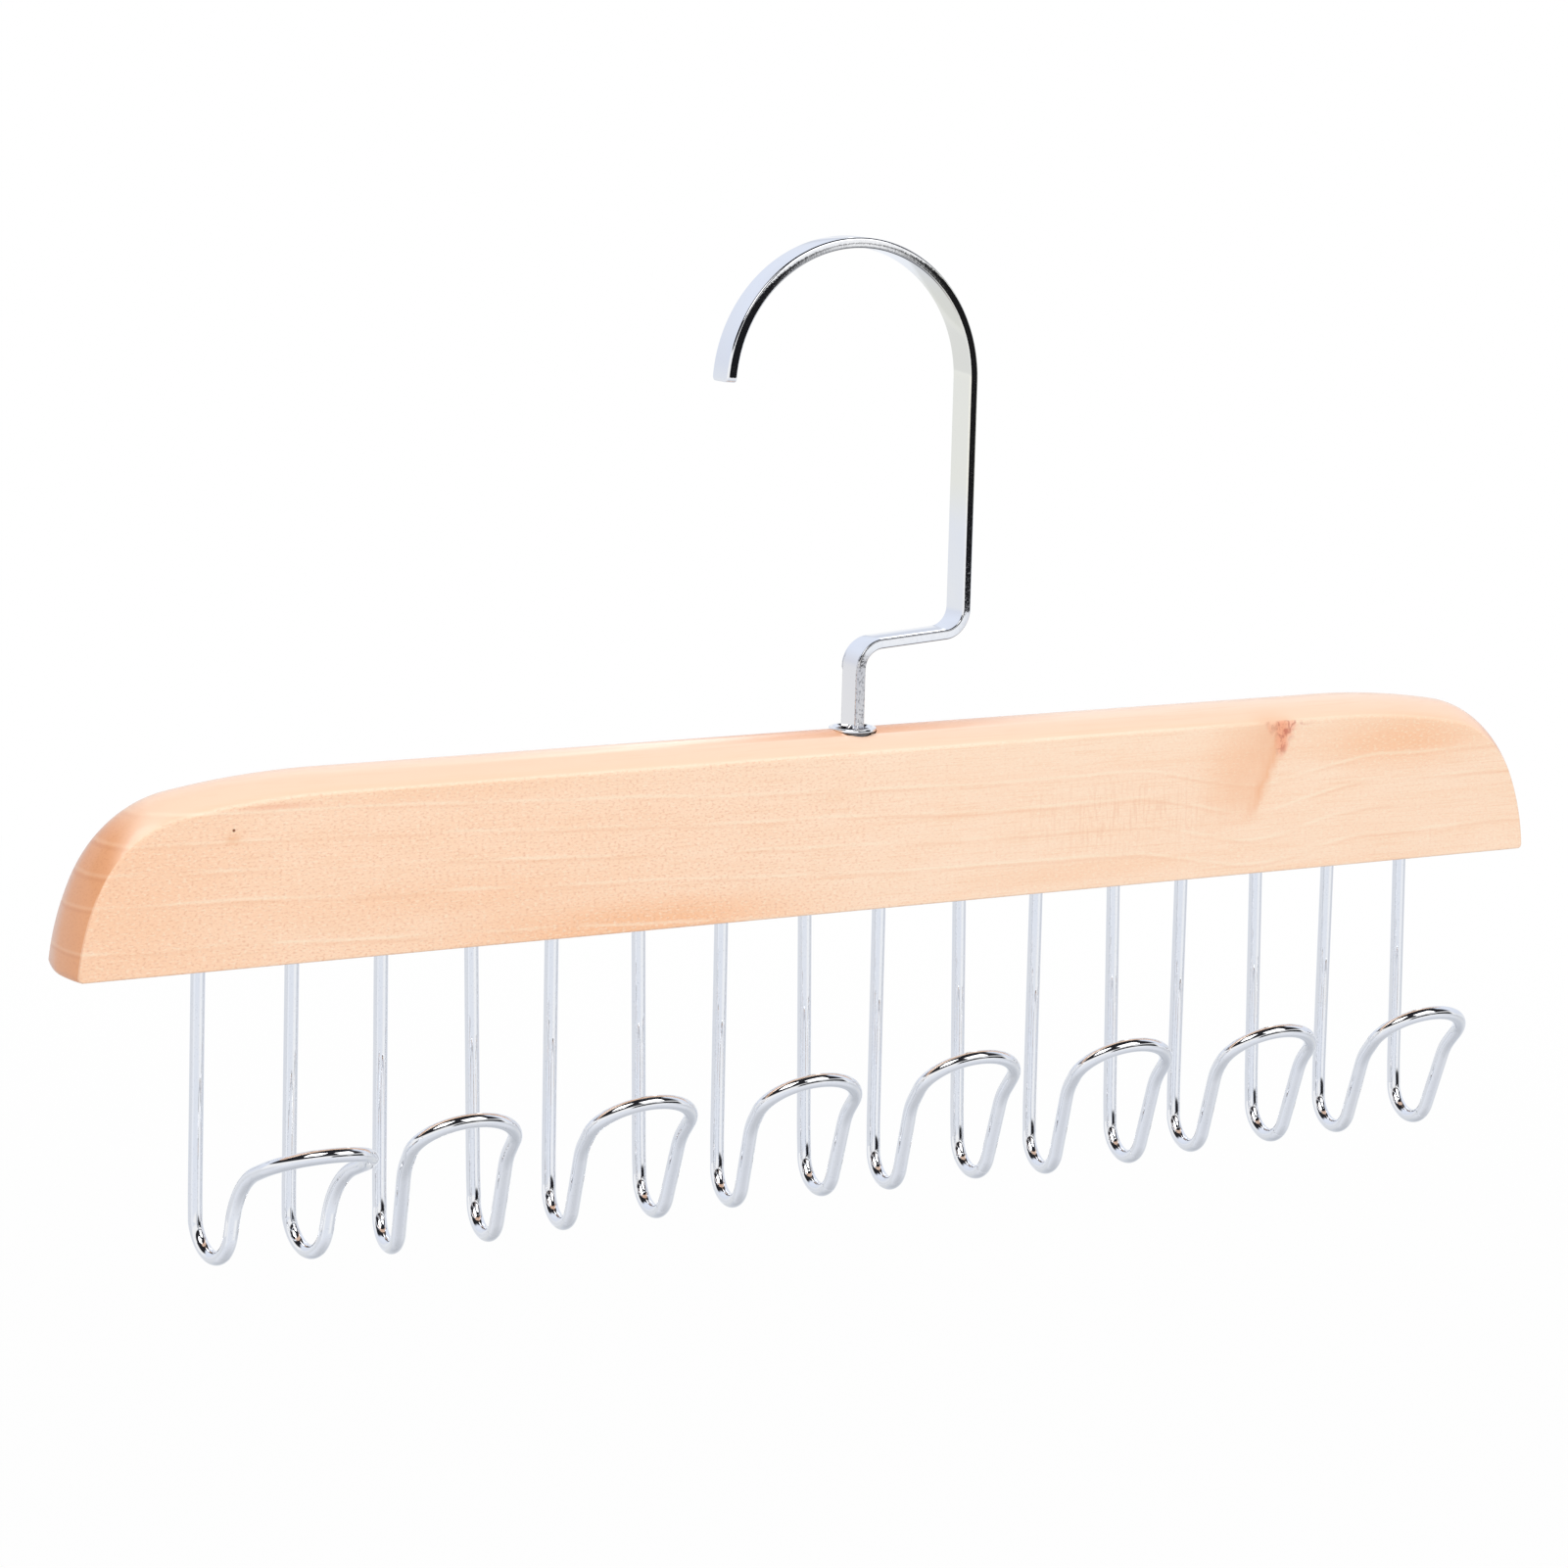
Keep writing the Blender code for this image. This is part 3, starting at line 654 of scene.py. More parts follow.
def make_loop(index, chrome, sides=28):
    """One loop: a round wire along its middle line.

    Point (i, j) is c_i + r (cos a_j n_i + sin a_j b_i), with n the sheet's
    normal made square to the wire and b the third direction.
    """
    bend = loop_bend(index)
    line = np.concatenate([half_loop(1, bend), half_loop(-1, bend)[-2::-1]])
    centre = line[:, :3] + np.array([loop_middle(index), 0, BAR_UNDERSIDE_Z])
    steps = np.diff(centre, axis=0)
    steps /= np.linalg.norm(steps, axis=1, keepdims=True)
    ahead = np.concatenate([steps[:1], steps[:-1] + steps[1:], steps[-1:]])
    ahead /= np.linalg.norm(ahead, axis=1, keepdims=True)
    normal = np.stack([np.zeros(len(line)), line[:, 3], line[:, 4]], -1)
    normal -= (normal * ahead).sum(1, keepdims=True) * ahead
    normal /= np.linalg.norm(normal, axis=1, keepdims=True)
    third = np.cross(ahead, normal)
    angle = (np.arange(sides) / sides * math.tau)[None, :, None]
    spokes = np.cos(angle) * normal[:, None] + np.sin(angle) * third[:, None]
    rings = centre[:, None] + WIRE_RADIUS * spokes
    return skin(f"wire_loop_{index + 1}", rings, chrome, WIRE_SMOOTHING)


# Materials

# Marks drawn with noise: its size in millimetres along X, Y and Z, and the levels
# where a mark begins and where it is full
Marks = namedtuple("Marks", "size none full detail distortion", defaults=(2, 0))

# Spot on the bar's face: its middle, its half width and half height, and its share
Spot = namedtuple("Spot", "x z wide high share", defaults=(1,))

# Patch of a colour. It shows by the product of its share, of named shares, of its
# marks and spot, of windows (name, where none, where full) and of hills (name,
# middle, reach on each side)
Patch = namedtuple(
    "Patch",
    "share colour by marks spot windows hills",
    defaults=(None, "", None, None, (), ()),
)

# Colour sockets of a Mix node
MIX_FIRST = 6
MIX_SECOND = 7
MIX_RESULT = 2


class Graph:
    """Short calls that add and join the nodes of one node tree."""

    def __init__(self, tree):
        self.nodes = tree.nodes
        self.links = tree.links
        self.place = None

    def add(self, kind, **settings):
        """Add a node and set its properties."""
        node = self.nodes.new(kind)
        for name, value in settings.items():
            setattr(node, name, value)
        return node

    def feed(self, socket, value):
        """Join an output to a socket, or give the socket a value."""
        if isinstance(value, bpy.types.NodeSocket):
            self.links.new(value, socket)
        else:
            socket.default_value = value

    def made(self, kind, output, values, **settings):
        """An output of a new node that is fed with values by the names of its inputs."""
        node = self.add(kind, **settings)
        for name, value in values.items():
            self.feed(node.inputs[name], value)
        return node.outputs[output]

    def math(self, operation, *values):
        """The result of one sum."""
        return self.made("ShaderNodeMath", 0, dict(enumerate(values)), operation=operation)

    def times(self, *values):
        """The product of several values."""
        return reduce(lambda first, second: self.math("MULTIPLY", first, second), values)

    def plus(self, *values):
        """The sum of several values."""
        return reduce(lambda first, second: self.math("ADD", first, second), values)

    def gathered(self, base, shares, values):
        """A base plus a share of each of several values."""
        return self.plus(base, *[self.times(*pair) for pair in zip(shares, values)])

    def off(self, value, middle):
        """How far a value is from a middle."""
        return self.math("ABSOLUTE", self.math("SUBTRACT", value, middle))

    def window(self, value, none, full):
        """Share that goes smoothly from 0 at one value to 1 at the other."""
        values = {"Value": value, "From Min": none, "From Max": full}
        return self.made("ShaderNodeMapRange", "Result", values, interpolation_type="SMOOTHSTEP")

    def hill(self, value, middle, reach):
        """Share that is 1 at a middle and falls smoothly to 0 at a reach on each side."""
        return self.window(self.off(value, middle), reach, 0)

    def blend(self, share, first, second):
        """Blend of two colours by a share."""
        values = {0: share, MIX_FIRST: first, MIX_SECOND: second}
        return self.made("ShaderNodeMix", MIX_RESULT, values, data_type="RGBA")

    def mapped(self, place, location=(0, 0, 0), scale=(1, 1, 1), rotation=(0, 0, 0)):
        """Place after scaling, turning and shifting."""
        values = {"Vector": place, "Location": location, "Scale": scale, "Rotation": rotation}
        return self.made("ShaderNodeMapping", "Vector", values)

    def noise(self, size, detail=2, distortion=0):
        """Noise about 0.5 whose features have a size along X, Y and Z."""
        place = self.mapped(self.place, scale=[1 / length for length in size])
        values = {"Vector": place, "Scale": 1, "Detail": detail, "Distortion": distortion}
        return self.made("ShaderNodeTexNoise", "Fac", values)

    def marks(self, kind):
        """Share of one kind of mark."""
        noise = self.noise(kind.size, kind.detail, kind.distortion)
        return self.window(noise, kind.none, kind.full)

    def spot(self, area):
        """Share of a spot: full in its middle and none at its rim."""
        scale = (1 / area.wide, 0, 1 / area.high)
        location = (-area.x / area.wide, 0, -area.z / area.high)
        place = self.mapped(self.place, location=location, scale=scale)
        away = self.made("ShaderNodeVectorMath", "Value", {0: place}, operation="LENGTH")
        return self.times(area.share, self.window(away, 1, 0))

    def shows(self, at, patch):
        """Share in which a patch shows, with the named values given in a dictionary."""
        shares = [at[name] for name in patch.by.split()]
        if patch.marks:
            shares.append(self.marks(patch.marks))
        if patch.spot:
            shares.append(self.spot(patch.spot))
        shares += [self.window(at[name], *limits) for name, *limits in patch.windows]
        shares += [self.hill(at[name], *limits) for name, *limits in patch.hills]
        return self.times(patch.share, *shares)

    def lay(self, at, colour, patches):
        """A colour with patches laid over it in turn."""
        for patch in patches:
            colour = self.blend(self.shows(at, patch), colour, patch.colour)
        return colour

    def split(self, vector):
        """The three parts of a vector."""
        node = self.add("ShaderNodeSeparateXYZ")
        self.feed(node.inputs["Vector"], vector)
        return node.outputs

    def stored(self, name):
        """A share stored on the mesh."""
        return self.add("ShaderNodeAttribute", attribute_name=name).outputs["Fac"]

    def bump(self, height, distance, strength):
        """Normal bent by a height."""
        values = {"Height": height, "Distance": distance, "Strength": strength}
        return self.made("ShaderNodeBump", "Normal", values)


def shown(red, green, blue):
    """Colour whose levels on a screen go from 0 to 255."""
    levels = Color((red, green, blue)) / 255
    return (*levels.from_srgb_to_scene_linear(), 1)


def new_material(name):
    """A Principled material, as its graph and its shader's inputs."""
    material = bpy.data.materials.new(name)
    material.use_nodes = True
    shader = material.node_tree.nodes["Principled BSDF"]
    return material, Graph(material.node_tree), shader.inputs


def surface(graph, shader, colour, rough, normal, metallic=0):
    """Give a shader its colour, roughness and normal."""
    graph.feed(shader["Base Color"], colour)
    graph.feed(shader["Roughness"], rough)
    graph.feed(shader["Normal"], normal)
    shader["Metallic"].default_value = metallic


def named_places(graph, origin=(0, 0, 0)):
    """Set the graph's place, in millimetres from an origin, and name its parts."""
    place = graph.add("ShaderNodeTexCoord").outputs["Object"]
    shift = [-MILLIMETRES * length for length in origin]
    graph.place = graph.mapped(place, location=shift, scale=(MILLIMETRES,) * 3)
    return dict(zip("xyz", graph.split(graph.place)))


# Wood, in millimetres from the middle of the lower edge of the front face. Depth is
# the distance from the middle of the thickness.

FACE = ("depth", 7.5, 7.9)
FRONT = ("y", 9, 7)

# Darker clouds over wood that is paler to the right
CLOUDS = (
    Spot(-176, 16, 46, 40, 0.4),
    Spot(-55, 2, 62, 8, 0.85),
    Spot(-100, 11, 66, 6, 0.3),
    Spot(-100, 33, 50, 4, 0.35),
    Spot(145, 29, 38, 10, 0.75),
    Spot(98, 26, 13, 16, 0.35),
    Spot(60, 4, 50, 4, 0.25),
)
CLOUD_SIZE = (16, 9, 5)
CLOUD_SHARE = 0.35
PALE_LIMITS = (-90, 20)
PALE_TONES = (shown(255, 221, 192), shown(255, 228, 203))

# Growth layers, by height, a climb to the right, a dip under the knot and wander
CLIMB_LIMITS = (-200, 62)
DIP_HILL = (104, 34)
WANDER_SIZE = (45, 30, 14)
LAYER_SHIFT = -1.2
LAYER_SHARES = (1, 7.5, 5.2, 2.4)
# Heights at the left end of the pale lines between them, each with a dark one below
GROWTH_LINES = (6, 15, 21, 27, 33)
LINE_REACH = 0.6
UNDER_DROP = 0.75

FIBRE_SIZE = (17, 1.2, 0.34)
FLECKS = Marks((0.8, 0.75, 0.42), 0.5, 0.68)
LEFT_LIMITS = (40, -30)
# Share of flecks at the right, and more at the left
LEFT_SHARES = (0.35, (0.65,))
PORES = Marks((1.0, 0.55, 0.4), 0.5, 0.68)

# Ragged dark knot under the crown's edge: its half width below, and more above
KNOT_X = 110.3
KNOT_WIDTHS = (1.1, (3.06,))
WIDENING_LIMITS = (25.5, 35.5)
RAG = 1.9
RAG_SIZE = (1.7, 1.7, 2.6)
KNOT = Patch(0.9, windows=(("reach", 2.4, 0.9), ("z", 25.2, 28.6), ("z", 34.9, 34.3)))
KNOT_TONES = (shown(244, 166, 134), shown(200, 102, 82))
SPECKS = Marks((1.5, 1.5, 1.7), 0.46, 0.62, detail=3, distortion=0.8)

# Darker fan of strokes from the knot down to the left: a narrow band and a broad one
FAN_X = 96.4
FAN_SLOPE = 0.42
FAN_WANDER = 3.2
FAN_WANDER_SIZE = (2.4, 4, 3)
FAN_NARROW = Patch(0.55, windows=(("off", 4.5, 0), ("z", 11, 16)))
FAN_BROAD = Patch(0.5, windows=(("off", 24, 3), ("z", 9, 20)))
FAN = Patch(1, by="bands strokes", windows=(("off", -1.3, 1.4), ("z", 36, 32)))
STROKE_SIZE = (0.8, 2, 6)
STROKE_SHARES = (0.62, (0.7,))

FACE_PATCHES = (
    # Clouds, fibres, faint layers, dark and light flecks and ripples
    Patch(1, shown(251, 196, 154), by="clouds"),
    Patch(0.5, shown(248, 204, 168), windows=(("fibres", 0.5, 0.7),)),
    Patch(0.3, shown(250, 205, 170), marks=Marks((70, 2.5, 2.2), 0.5, 0.72, 3)),
    Patch(0.6, shown(236, 180, 146), by="flecks left", windows=(FACE,)),
    Patch(0.5, shown(255, 234, 210), marks=Marks((1.1, 1.0, 0.38), 0.48, 0.32), windows=(FACE,)),
    Patch(
        0.45,
        shown(243, 196, 164),
        marks=Marks((0.75, 2, 5), 0.48, 0.66, 1),
        windows=(FACE,),
        hills=(("x", 68, 46), ("z", 16, 13)),
    ),
    # Painted sheen: the crown paler, and a painted warm glow in a band along its edges
    Patch(0.35, shown(255, 226, 210), windows=(("depth", 7.9, 6.5),)),
    Patch(0.5, shown(255, 212, 184), windows=(("depth", 2.5, 6.5), ("depth", 7.9, 7.5))),
    # Faded dark lines, broken pale lines, a painted highlight along the crease at the crown's edge,
    # and the fan
    Patch(0.32, shown(242, 190, 152), by="under", marks=Marks((26, 8, 4), 0.62, 0.4, 3)),
    Patch(0.46, shown(255, 236, 212), by="lines", marks=Marks((22, 8, 3), 0.38, 0.6, 3)),
    # Painted highlight along the crease at the top of the faces
    Patch(0.3, shown(255, 236, 212), windows=(("z", 24, 33),), hills=(("depth", 7.8, 0.35),)),
    Patch(1, shown(245, 190, 152), by="fan"),
)
# The knot's dark tips and its halo, and a streak and a blotch at the left end
HALO_WINDOWS = (("z", 22, 31), ("z", 38.6, 34.2))
KNOT_PATCHES = (
    Patch(
        0.6,
        shown(205, 118, 98),
        by="specks",
        windows=(("depth", 7.3, 7.7),),
        hills=(("z", 33.9, 0.9), ("x", 112.5, 8.5)),
    ),
    Patch(0.34, shown(240, 182, 142), windows=HALO_WINDOWS, hills=(("x", 107, 8),)),
    Patch(0.5, shown(240, 175, 140), spot=Spot(-139, 32.6, 12, 1)),
    Patch(0.45, shown(236, 170, 120), spot=Spot(-148.5, 26.6, 3.0, 1.6), windows=(FRONT,)),
)
# Pin dot by the blotch
PIN = Patch(2.0, shown(136, 82, 52), spot=Spot(-148.3, 28.4, 0.45, 0.45), windows=(FRONT,))

# Sawn ends: pores, a painted pale sheen towards the back, and the growth lines
END = Patch(0.9, windows=(("end_share", 0.34, 0.74), ("depth", 7.9, 7.6)))
END_TONE = shown(233, 164, 116)
END_PATCHES = (
    Patch(0.4, shown(219, 144, 98), by="pores"),
    # Painted sheen: paler and pinkish towards the back of each end
    Patch(0.6, shown(226, 192, 178), windows=(("y", 8.5, 14),)),
    Patch(0.35, shown(214, 140, 98), by="under"),
    Patch(0.35, shown(246, 198, 160), by="lines"),
)

# Roughness by fibres and flecks, and height by fibres, flecks and pores
WOOD_ROUGH = 0.34
WOOD_ROUGH_SHARES = (0.12, 0.1)
WOOD_HEIGHT_SHARES = (0.5, -0.6, -0.5)
WOOD_BUMP = (0.00006, 0.35)
VARNISH = {
    "Coat Weight": 0.45,
    "Coat Roughness": 0.12,
    "Coat IOR": 1.5,
    "Specular IOR Level": 0.25,
}


def add_lines(graph, at):
    """Name the pale growth lines and the dark ones, by the layer met at a place."""
    climb = graph.window(at["x"], *CLIMB_LIMITS)
    dip = graph.hill(at["x"], *DIP_HILL)
    wander = graph.noise(WANDER_SIZE)
    layer = graph.gathered(LAYER_SHIFT, LAYER_SHARES, (at["z"], climb, dip, wander))
    for name, drop in (("lines", 0), ("under", UNDER_DROP)):
        lines = [graph.hill(layer, height - drop, LINE_REACH) for height in GROWTH_LINES]
        at[name] = graph.plus(*lines)


def add_marks(graph, at):
    """Name the clouds, the fibres, the flecks and the pores."""
    clouds = [graph.spot(cloud) for cloud in CLOUDS]
    cloudy = graph.times(CLOUD_SHARE, graph.noise(CLOUD_SIZE, detail=3))
    at["clouds"] = graph.plus(cloudy, *clouds)
    at["fibres"] = graph.noise(FIBRE_SIZE)
    at["flecks"] = graph.marks(FLECKS)
    at["left"] = graph.gathered(*LEFT_SHARES, (graph.window(at["x"], *LEFT_LIMITS),))
    at["pores"] = graph.marks(PORES)


def add_knot(graph, at):
    """Name the knot's specks and its reach, which is how far out of its core a place is."""
    half_width = graph.gathered(*KNOT_WIDTHS, (graph.window(at["z"], *WIDENING_LIMITS),))
    ragged = graph.times(RAG, graph.noise(RAG_SIZE, detail=4))
    across = graph.math("DIVIDE", graph.off(at["x"], KNOT_X), half_width)
    at["reach"] = graph.plus(across, ragged)
    at["specks"] = graph.marks(SPECKS)


def add_fan(graph, at):
    """Name the fan, whose sharp right edge wanders up to the right."""
    wander = graph.noise(FAN_WANDER_SIZE, detail=3)
    edge = graph.gathered(FAN_X, (FAN_SLOPE, FAN_WANDER), (at["z"], wander))
    at["off"] = graph.math("SUBTRACT", edge, at["x"])
    at["bands"] = graph.plus(graph.shows(at, FAN_NARROW), graph.shows(at, FAN_BROAD))
    strokes = graph.noise(STROKE_SIZE)
    at["strokes"] = graph.gathered(*STROKE_SHARES, (strokes,))
    at["fan"] = graph.shows(at, FAN)


def make_wood():
    """Pale wood under clear varnish, with fine flecks, growth lines and one knot."""
    material, graph, shader = new_material("grained_wood")
    at = named_places(graph, (BAR_MIDDLE_X, -BAR_THICKNESS / 2, BAR_UNDERSIDE_Z))
    at["depth"] = graph.off(at["y"], MILLIMETRES * BAR_THICKNESS / 2)
    at["end_share"] = graph.stored("end_share")
    for add_names in (add_lines, add_marks, add_knot, add_fan):
        add_names(graph, at)
    pale = graph.blend(graph.window(at["x"], *PALE_LIMITS), *PALE_TONES)
    colour = graph.lay(at, pale, FACE_PATCHES)
    knot = graph.blend(at["specks"], *KNOT_TONES)
    colour = graph.blend(graph.shows(at, KNOT), colour, knot)
    colour = graph.lay(at, colour, KNOT_PATCHES)
    pin = graph.math("MINIMUM", graph.shows(at, PIN), 1)
    colour = graph.blend(pin, colour, PIN.colour)
    end = graph.shows(at, END)
    colour = graph.blend(end, colour, graph.lay(at, END_TONE, END_PATCHES))
    rough = graph.gathered(WOOD_ROUGH, WOOD_ROUGH_SHARES, (at["fibres"], at["flecks"]))
    flecks = graph.times(at["flecks"], graph.window(at["depth"], *FACE[1:]))
    pores = graph.times(at["pores"], graph.shows(at, END._replace(share=1)))
    height = graph.gathered(0, WOOD_HEIGHT_SHARES, (at["fibres"], flecks, pores))
    surface(graph, shader, colour, rough, graph.bump(height, *WOOD_BUMP))
    for name, value in VARNISH.items():
        shader[name].default_value = value
    return material


# Metal, in millimetres. Shares of roughness and height are for haze, grain and pits
Metal = namedtuple("Metal", "name origin tones haze grain pits patches rough shares heights bump")
PIT = Patch(0.3, shown(196, 199, 206), by="pits")
# Bright chrome on drawn wire, with draw lines and tiny pits
WIRE_CHROME = Metal(
    name="wire_chrome",
    origin=(0, 0, 0),
    tones=(shown(236, 239, 245), shown(243, 243, 243)),
    haze=((9, 9, 14), 3),
    grain=(0.25, 0.25, 9),
    pits=Marks((0.35, 0.35, 0.35), 0.62, 0.74, 1),
    patches=(PIT,),
    rough=0.02,
    shares=(0.03, 0.02, 0.03),
    heights=(0, 1, -0.2),
    bump=(0.000003, 0.05),
)
# Chrome on the pressed ferrule, with pits and a painted shade line under its rim
FERRULE_CHROME = WIRE_CHROME._replace(
    name="ferrule_chrome",
    origin=(STEM_OFFSET, 0, RIM_TOP_Z - RIM_THICKNESS),
    tones=(shown(240, 242, 246), shown(246, 246, 246)),
    haze=((4, 4, 4), 3),
    pits=Marks((0.35, 0.35, 0.35), 0.6, 0.72, 1),
    # Painted shade: dark below the rim's lower edge, down the sleeve and inside the cup
    patches=(PIT, Patch(0.85, shown(66, 60, 58), windows=(("z", 0.34, 0.22),))),
    rough=0.03,
    shares=(0.05, 0, 0.04),
    heights=(0, 0, 1),
)
# Dull zinc plating with a fine grain and cloudy stains
ZINC = WIRE_CHROME._replace(
    name="dull_zinc",
    tones=(shown(196, 199, 204), shown(214, 214, 210)),
    haze=((2, 2, 2), 4),
    grain=(0.2, 0.2, 0.2),
    patches=(),
    rough=0.32,
    shares=(0.16, 0, 0),
    heights=(0, 1, 0),
    bump=(0.00002, 0.3),
)

STRIP_TONES = (shown(236, 239, 246), shown(243, 243, 243))
STRIP_HAZE_SIZE = (10, 10, 10)
GRIT_SIZE = (0.45, 0.45, 0.6)
SHEARED = Patch(0.12, windows=(("off", 3.02, 3.22),))
STEM_FADE = 3
STEM_TOP = MILLIMETRES * (STEM_CORNER_Z - STEM_SHOULDER)
STEM = ("z", STEM_TOP, STEM_TOP - STEM_FADE)
STEM_SIDE = Patch(1, windows=(STEM, ("off", 2.55, 2.75)))
SPECKLED = Patch(1, by="sheared", windows=(("grit", 0.52, 0.62),))
# The stem, the ivory upper right, the stem's sides, specks, and painted dark reflections on the
# arm's corners
STRIP_PATCHES = (
    Patch(1, shown(238, 236, 236), windows=(STEM,)),
    Patch(0.8, shown(243, 241, 229), windows=(("x", 14, 24), ("z", -62, -50))),
    Patch(0.5, shown(176, 177, 182), by="stem_side"),
    Patch(0.5, shown(120, 121, 126), by="specks"),
    # Painted reflection: dark lines on the corners where the strip runs level
    Patch(0.85, shown(62, 63, 68), windows=(("border", 0.35, 0.85),)),
)
STRIP_ROUGH = 0.03
STRIP_ROUGH_SHARES = (0.03, 0.3)
STRIP_HEIGHT_SHARES = (0.01, 1)
STRIP_BUMP = (0.0002, 0.5)


def make_metal(metal):
    """A plated metal with haze, grain and pits."""
    material, graph, shader = new_material(metal.name)
    at = named_places(graph, metal.origin)
    haze = graph.noise(*metal.haze)
    at["pits"] = graph.marks(metal.pits)
    values = (haze, graph.noise(metal.grain), at["pits"])
    tint = graph.lay(at, graph.blend(haze, *metal.tones), metal.patches)
    rough = graph.gathered(metal.rough, metal.shares, values)
    height = graph.gathered(0, metal.heights, values)
    surface(graph, shader, tint, rough, graph.bump(height, *metal.bump), metallic=1)
    return material


def make_strip_chrome():
    """Chrome over a sheared strip: smooth broad faces, mottled narrow edges and stem, and painted
    dark reflection lines on its level corners.
    """
    material, graph, shader = new_material("strip_chrome")
    at = named_places(graph)
    haze = graph.noise(STRIP_HAZE_SIZE, detail=3)
    at["grit"] = graph.noise(GRIT_SIZE, detail=3)
    at["off"] = graph.math("ABSOLUTE", at["y"])
    at["border"] = graph.stored("painted_edge_reflection_share")
    at["stem_side"] = graph.shows(at, STEM_SIDE)
    at["sheared"] = graph.math("MAXIMUM", graph.shows(at, SHEARED), at["stem_side"])
    at["specks"] = graph.shows(at, SPECKLED)
    tint = graph.lay(at, graph.blend(haze, *STRIP_TONES), STRIP_PATCHES)
    rough = graph.gathered(STRIP_ROUGH, STRIP_ROUGH_SHARES, (haze, at["specks"]))
    gritty = graph.times(at["grit"], at["sheared"])
    height = graph.gathered(0, STRIP_HEIGHT_SHARES, (haze, gritty))
    surface(graph, shader, tint, rough, graph.bump(height, *STRIP_BUMP), metallic=1)
    return material


# Studio

def make_camera():
    """The camera at the photograph's angle."""
    data = bpy.data.cameras.new("camera")
    data.lens = CAMERA_LENS
    data.sensor_width = CAMERA_SENSOR
    data.sensor_fit = "HORIZONTAL"
    data.clip_start = CAMERA_NEAR
    data.clip_end = CAMERA_FAR
    camera = bpy.data.objects.new("camera", data)
    bpy.context.scene.collection.objects.link(camera)
    camera.matrix_world = (
        Matrix.Translation(CAMERA_PLACE)
        @ Matrix.Rotation(-CAMERA_AZIMUTH, 4, "Z")
        @ Matrix.Rotation(math.pi / 2 - CAMERA_DROP, 4, "X")
        @ Matrix.Rotation(CAMERA_ROLL, 4, "Z")
    )
    bpy.context.scene.camera = camera


# Rows of tones that metal sees, as (place from -1 to 1, red, green, blue)

# Round the room just below the horizon, in half turns from the camera's side to the right
LOW_TONES = (
    (-1, 0.92, 0.95, 1),
    (-0.71, 0.78, 0.8, 0.84),
    (-0.41, 0.78, 0.8, 0.84),
    (-0.26, 0.94, 0.96, 1),
    (-0.15, 0.84, 0.87, 0.93),
    (0.14, 0.84, 0.87, 0.93),
    (0.33, 1, 1, 1),
    (0.41, 0.95, 0.97, 1),
    (0.49, 0.78, 0.8, 0.84),
    (0.59, 0.68, 0.7, 0.74),
    (0.71, 0.72, 0.74, 0.78),
    (1, 0.92, 0.95, 1),
)
# From straight below to straight above on the camera's side
FRONT_TONES = (
    (-1, 0.6, 0.62, 0.66),
    (-0.72, 0.78, 0.8, 0.85),
    (-0.5, 0.84, 0.87, 0.93),
    (-0.25, 0.86, 0.89, 0.94),
    (-0.16, 1, 1, 1),
    (0.27, 1, 1, 1),
    (0.32, 0.02, 0.02, 0.024),
    (1, 0.02, 0.02, 0.024),
)
# From straight below to straight above on the far side
BACK_TONES = (
    (-1, 0.52, 0.54, 0.58),
    (-0.72, 0.66, 0.69, 0.74),
    (-0.62, 0.74, 0.76, 0.79),
    (-0.5, 0.75, 0.77, 0.79),
    (-0.42, 0.96, 0.98, 1),
    (-0.25, 0.91, 0.94, 0.98),
    (-0.12, 0.86, 0.88, 0.91),
    (0.1, 0.78, 0.82, 0.91),
    (0.5, 0.84, 0.89, 1),
    (0.74, 0.8, 0.84, 0.94),
    (0.8, 0.02, 0.02, 0.024),
    (1, 0.02, 0.02, 0.024),
)

# Patches of the room: turn is in half turns to the right, rise is how far up a
# direction goes, and ahead how far it goes towards the camera's side
WHITE = (1, 1, 1, 1)
FAR_SIDE = Patch(1, windows=(("ahead", -0.15, -0.35),))
LOW_ROOM = Patch(1, windows=(("rise", -0.5, -0.42), ("rise", -0.15, -0.17)))
# Upright dark strip to the right in front, with a gap in it
GAP_WINDOWS = (("rise", 0.155, 0.125), ("rise", 0.03, 0.06))
GAP = Patch(1, windows=GAP_WINDOWS, hills=(("turn", 0.353, 0.055),))
DARK_STRIP = Patch(
    1,
    (0.012, 0.012, 0.014, 1),
    by="no_gap",
    windows=(
        ("turn", 0.14, 0.18),
        ("turn", 0.56, 0.52),
        ("rise", -0.168, -0.158),
        ("rise", 0.18, 0.15),
    ),
)
# Grey shade and white glow straight behind
BEHIND = ("ahead", -0.86, -0.93)
SHADE = Patch(0.3, (0.48, 0.5, 0.54, 1), windows=(BEHIND,), hills=(("rise", 0.25, 0.08),))
GLOW = Patch(0.9, WHITE, windows=(BEHIND,), hills=(("rise", 0.13, 0.09),))
# Narrow bright card along a great circle, square to a direction
CARD_NORMAL = (0.858, -0.426, -0.284)
CARD = Patch(
    1,
    (5, 5, 5, 1),
    windows=(("rise", 0.3, 0.36), ("rise", 0.8, 0.72), ("ahead", -0.2, -0.4)),
    hills=(("card", -0.02, 0.022),),
)
# Plain light on all that is not glossy
WORLD_TONE = (0.63, 0.63, 0.63, 1)

Lamp = namedtuple("Lamp", "name place size power")
LAMP_TARGET = (0, 0, -0.1)
LAMPS = (
    Lamp("key_light", (0.6, -1.2, 0.9), 1.0, 7.6),
    Lamp("side_light", (-0.7, -0.6, 1.1), 0.8, 8),
)

FLOOR_HALF = 30
FLOOR_Z = -0.5
FLOOR_TONE = (0.9, 0.9, 0.9, 1)
FLOOR_SHARE = 0.96
FLOOR_FAR_LIMITS = (0.6, 2.0)


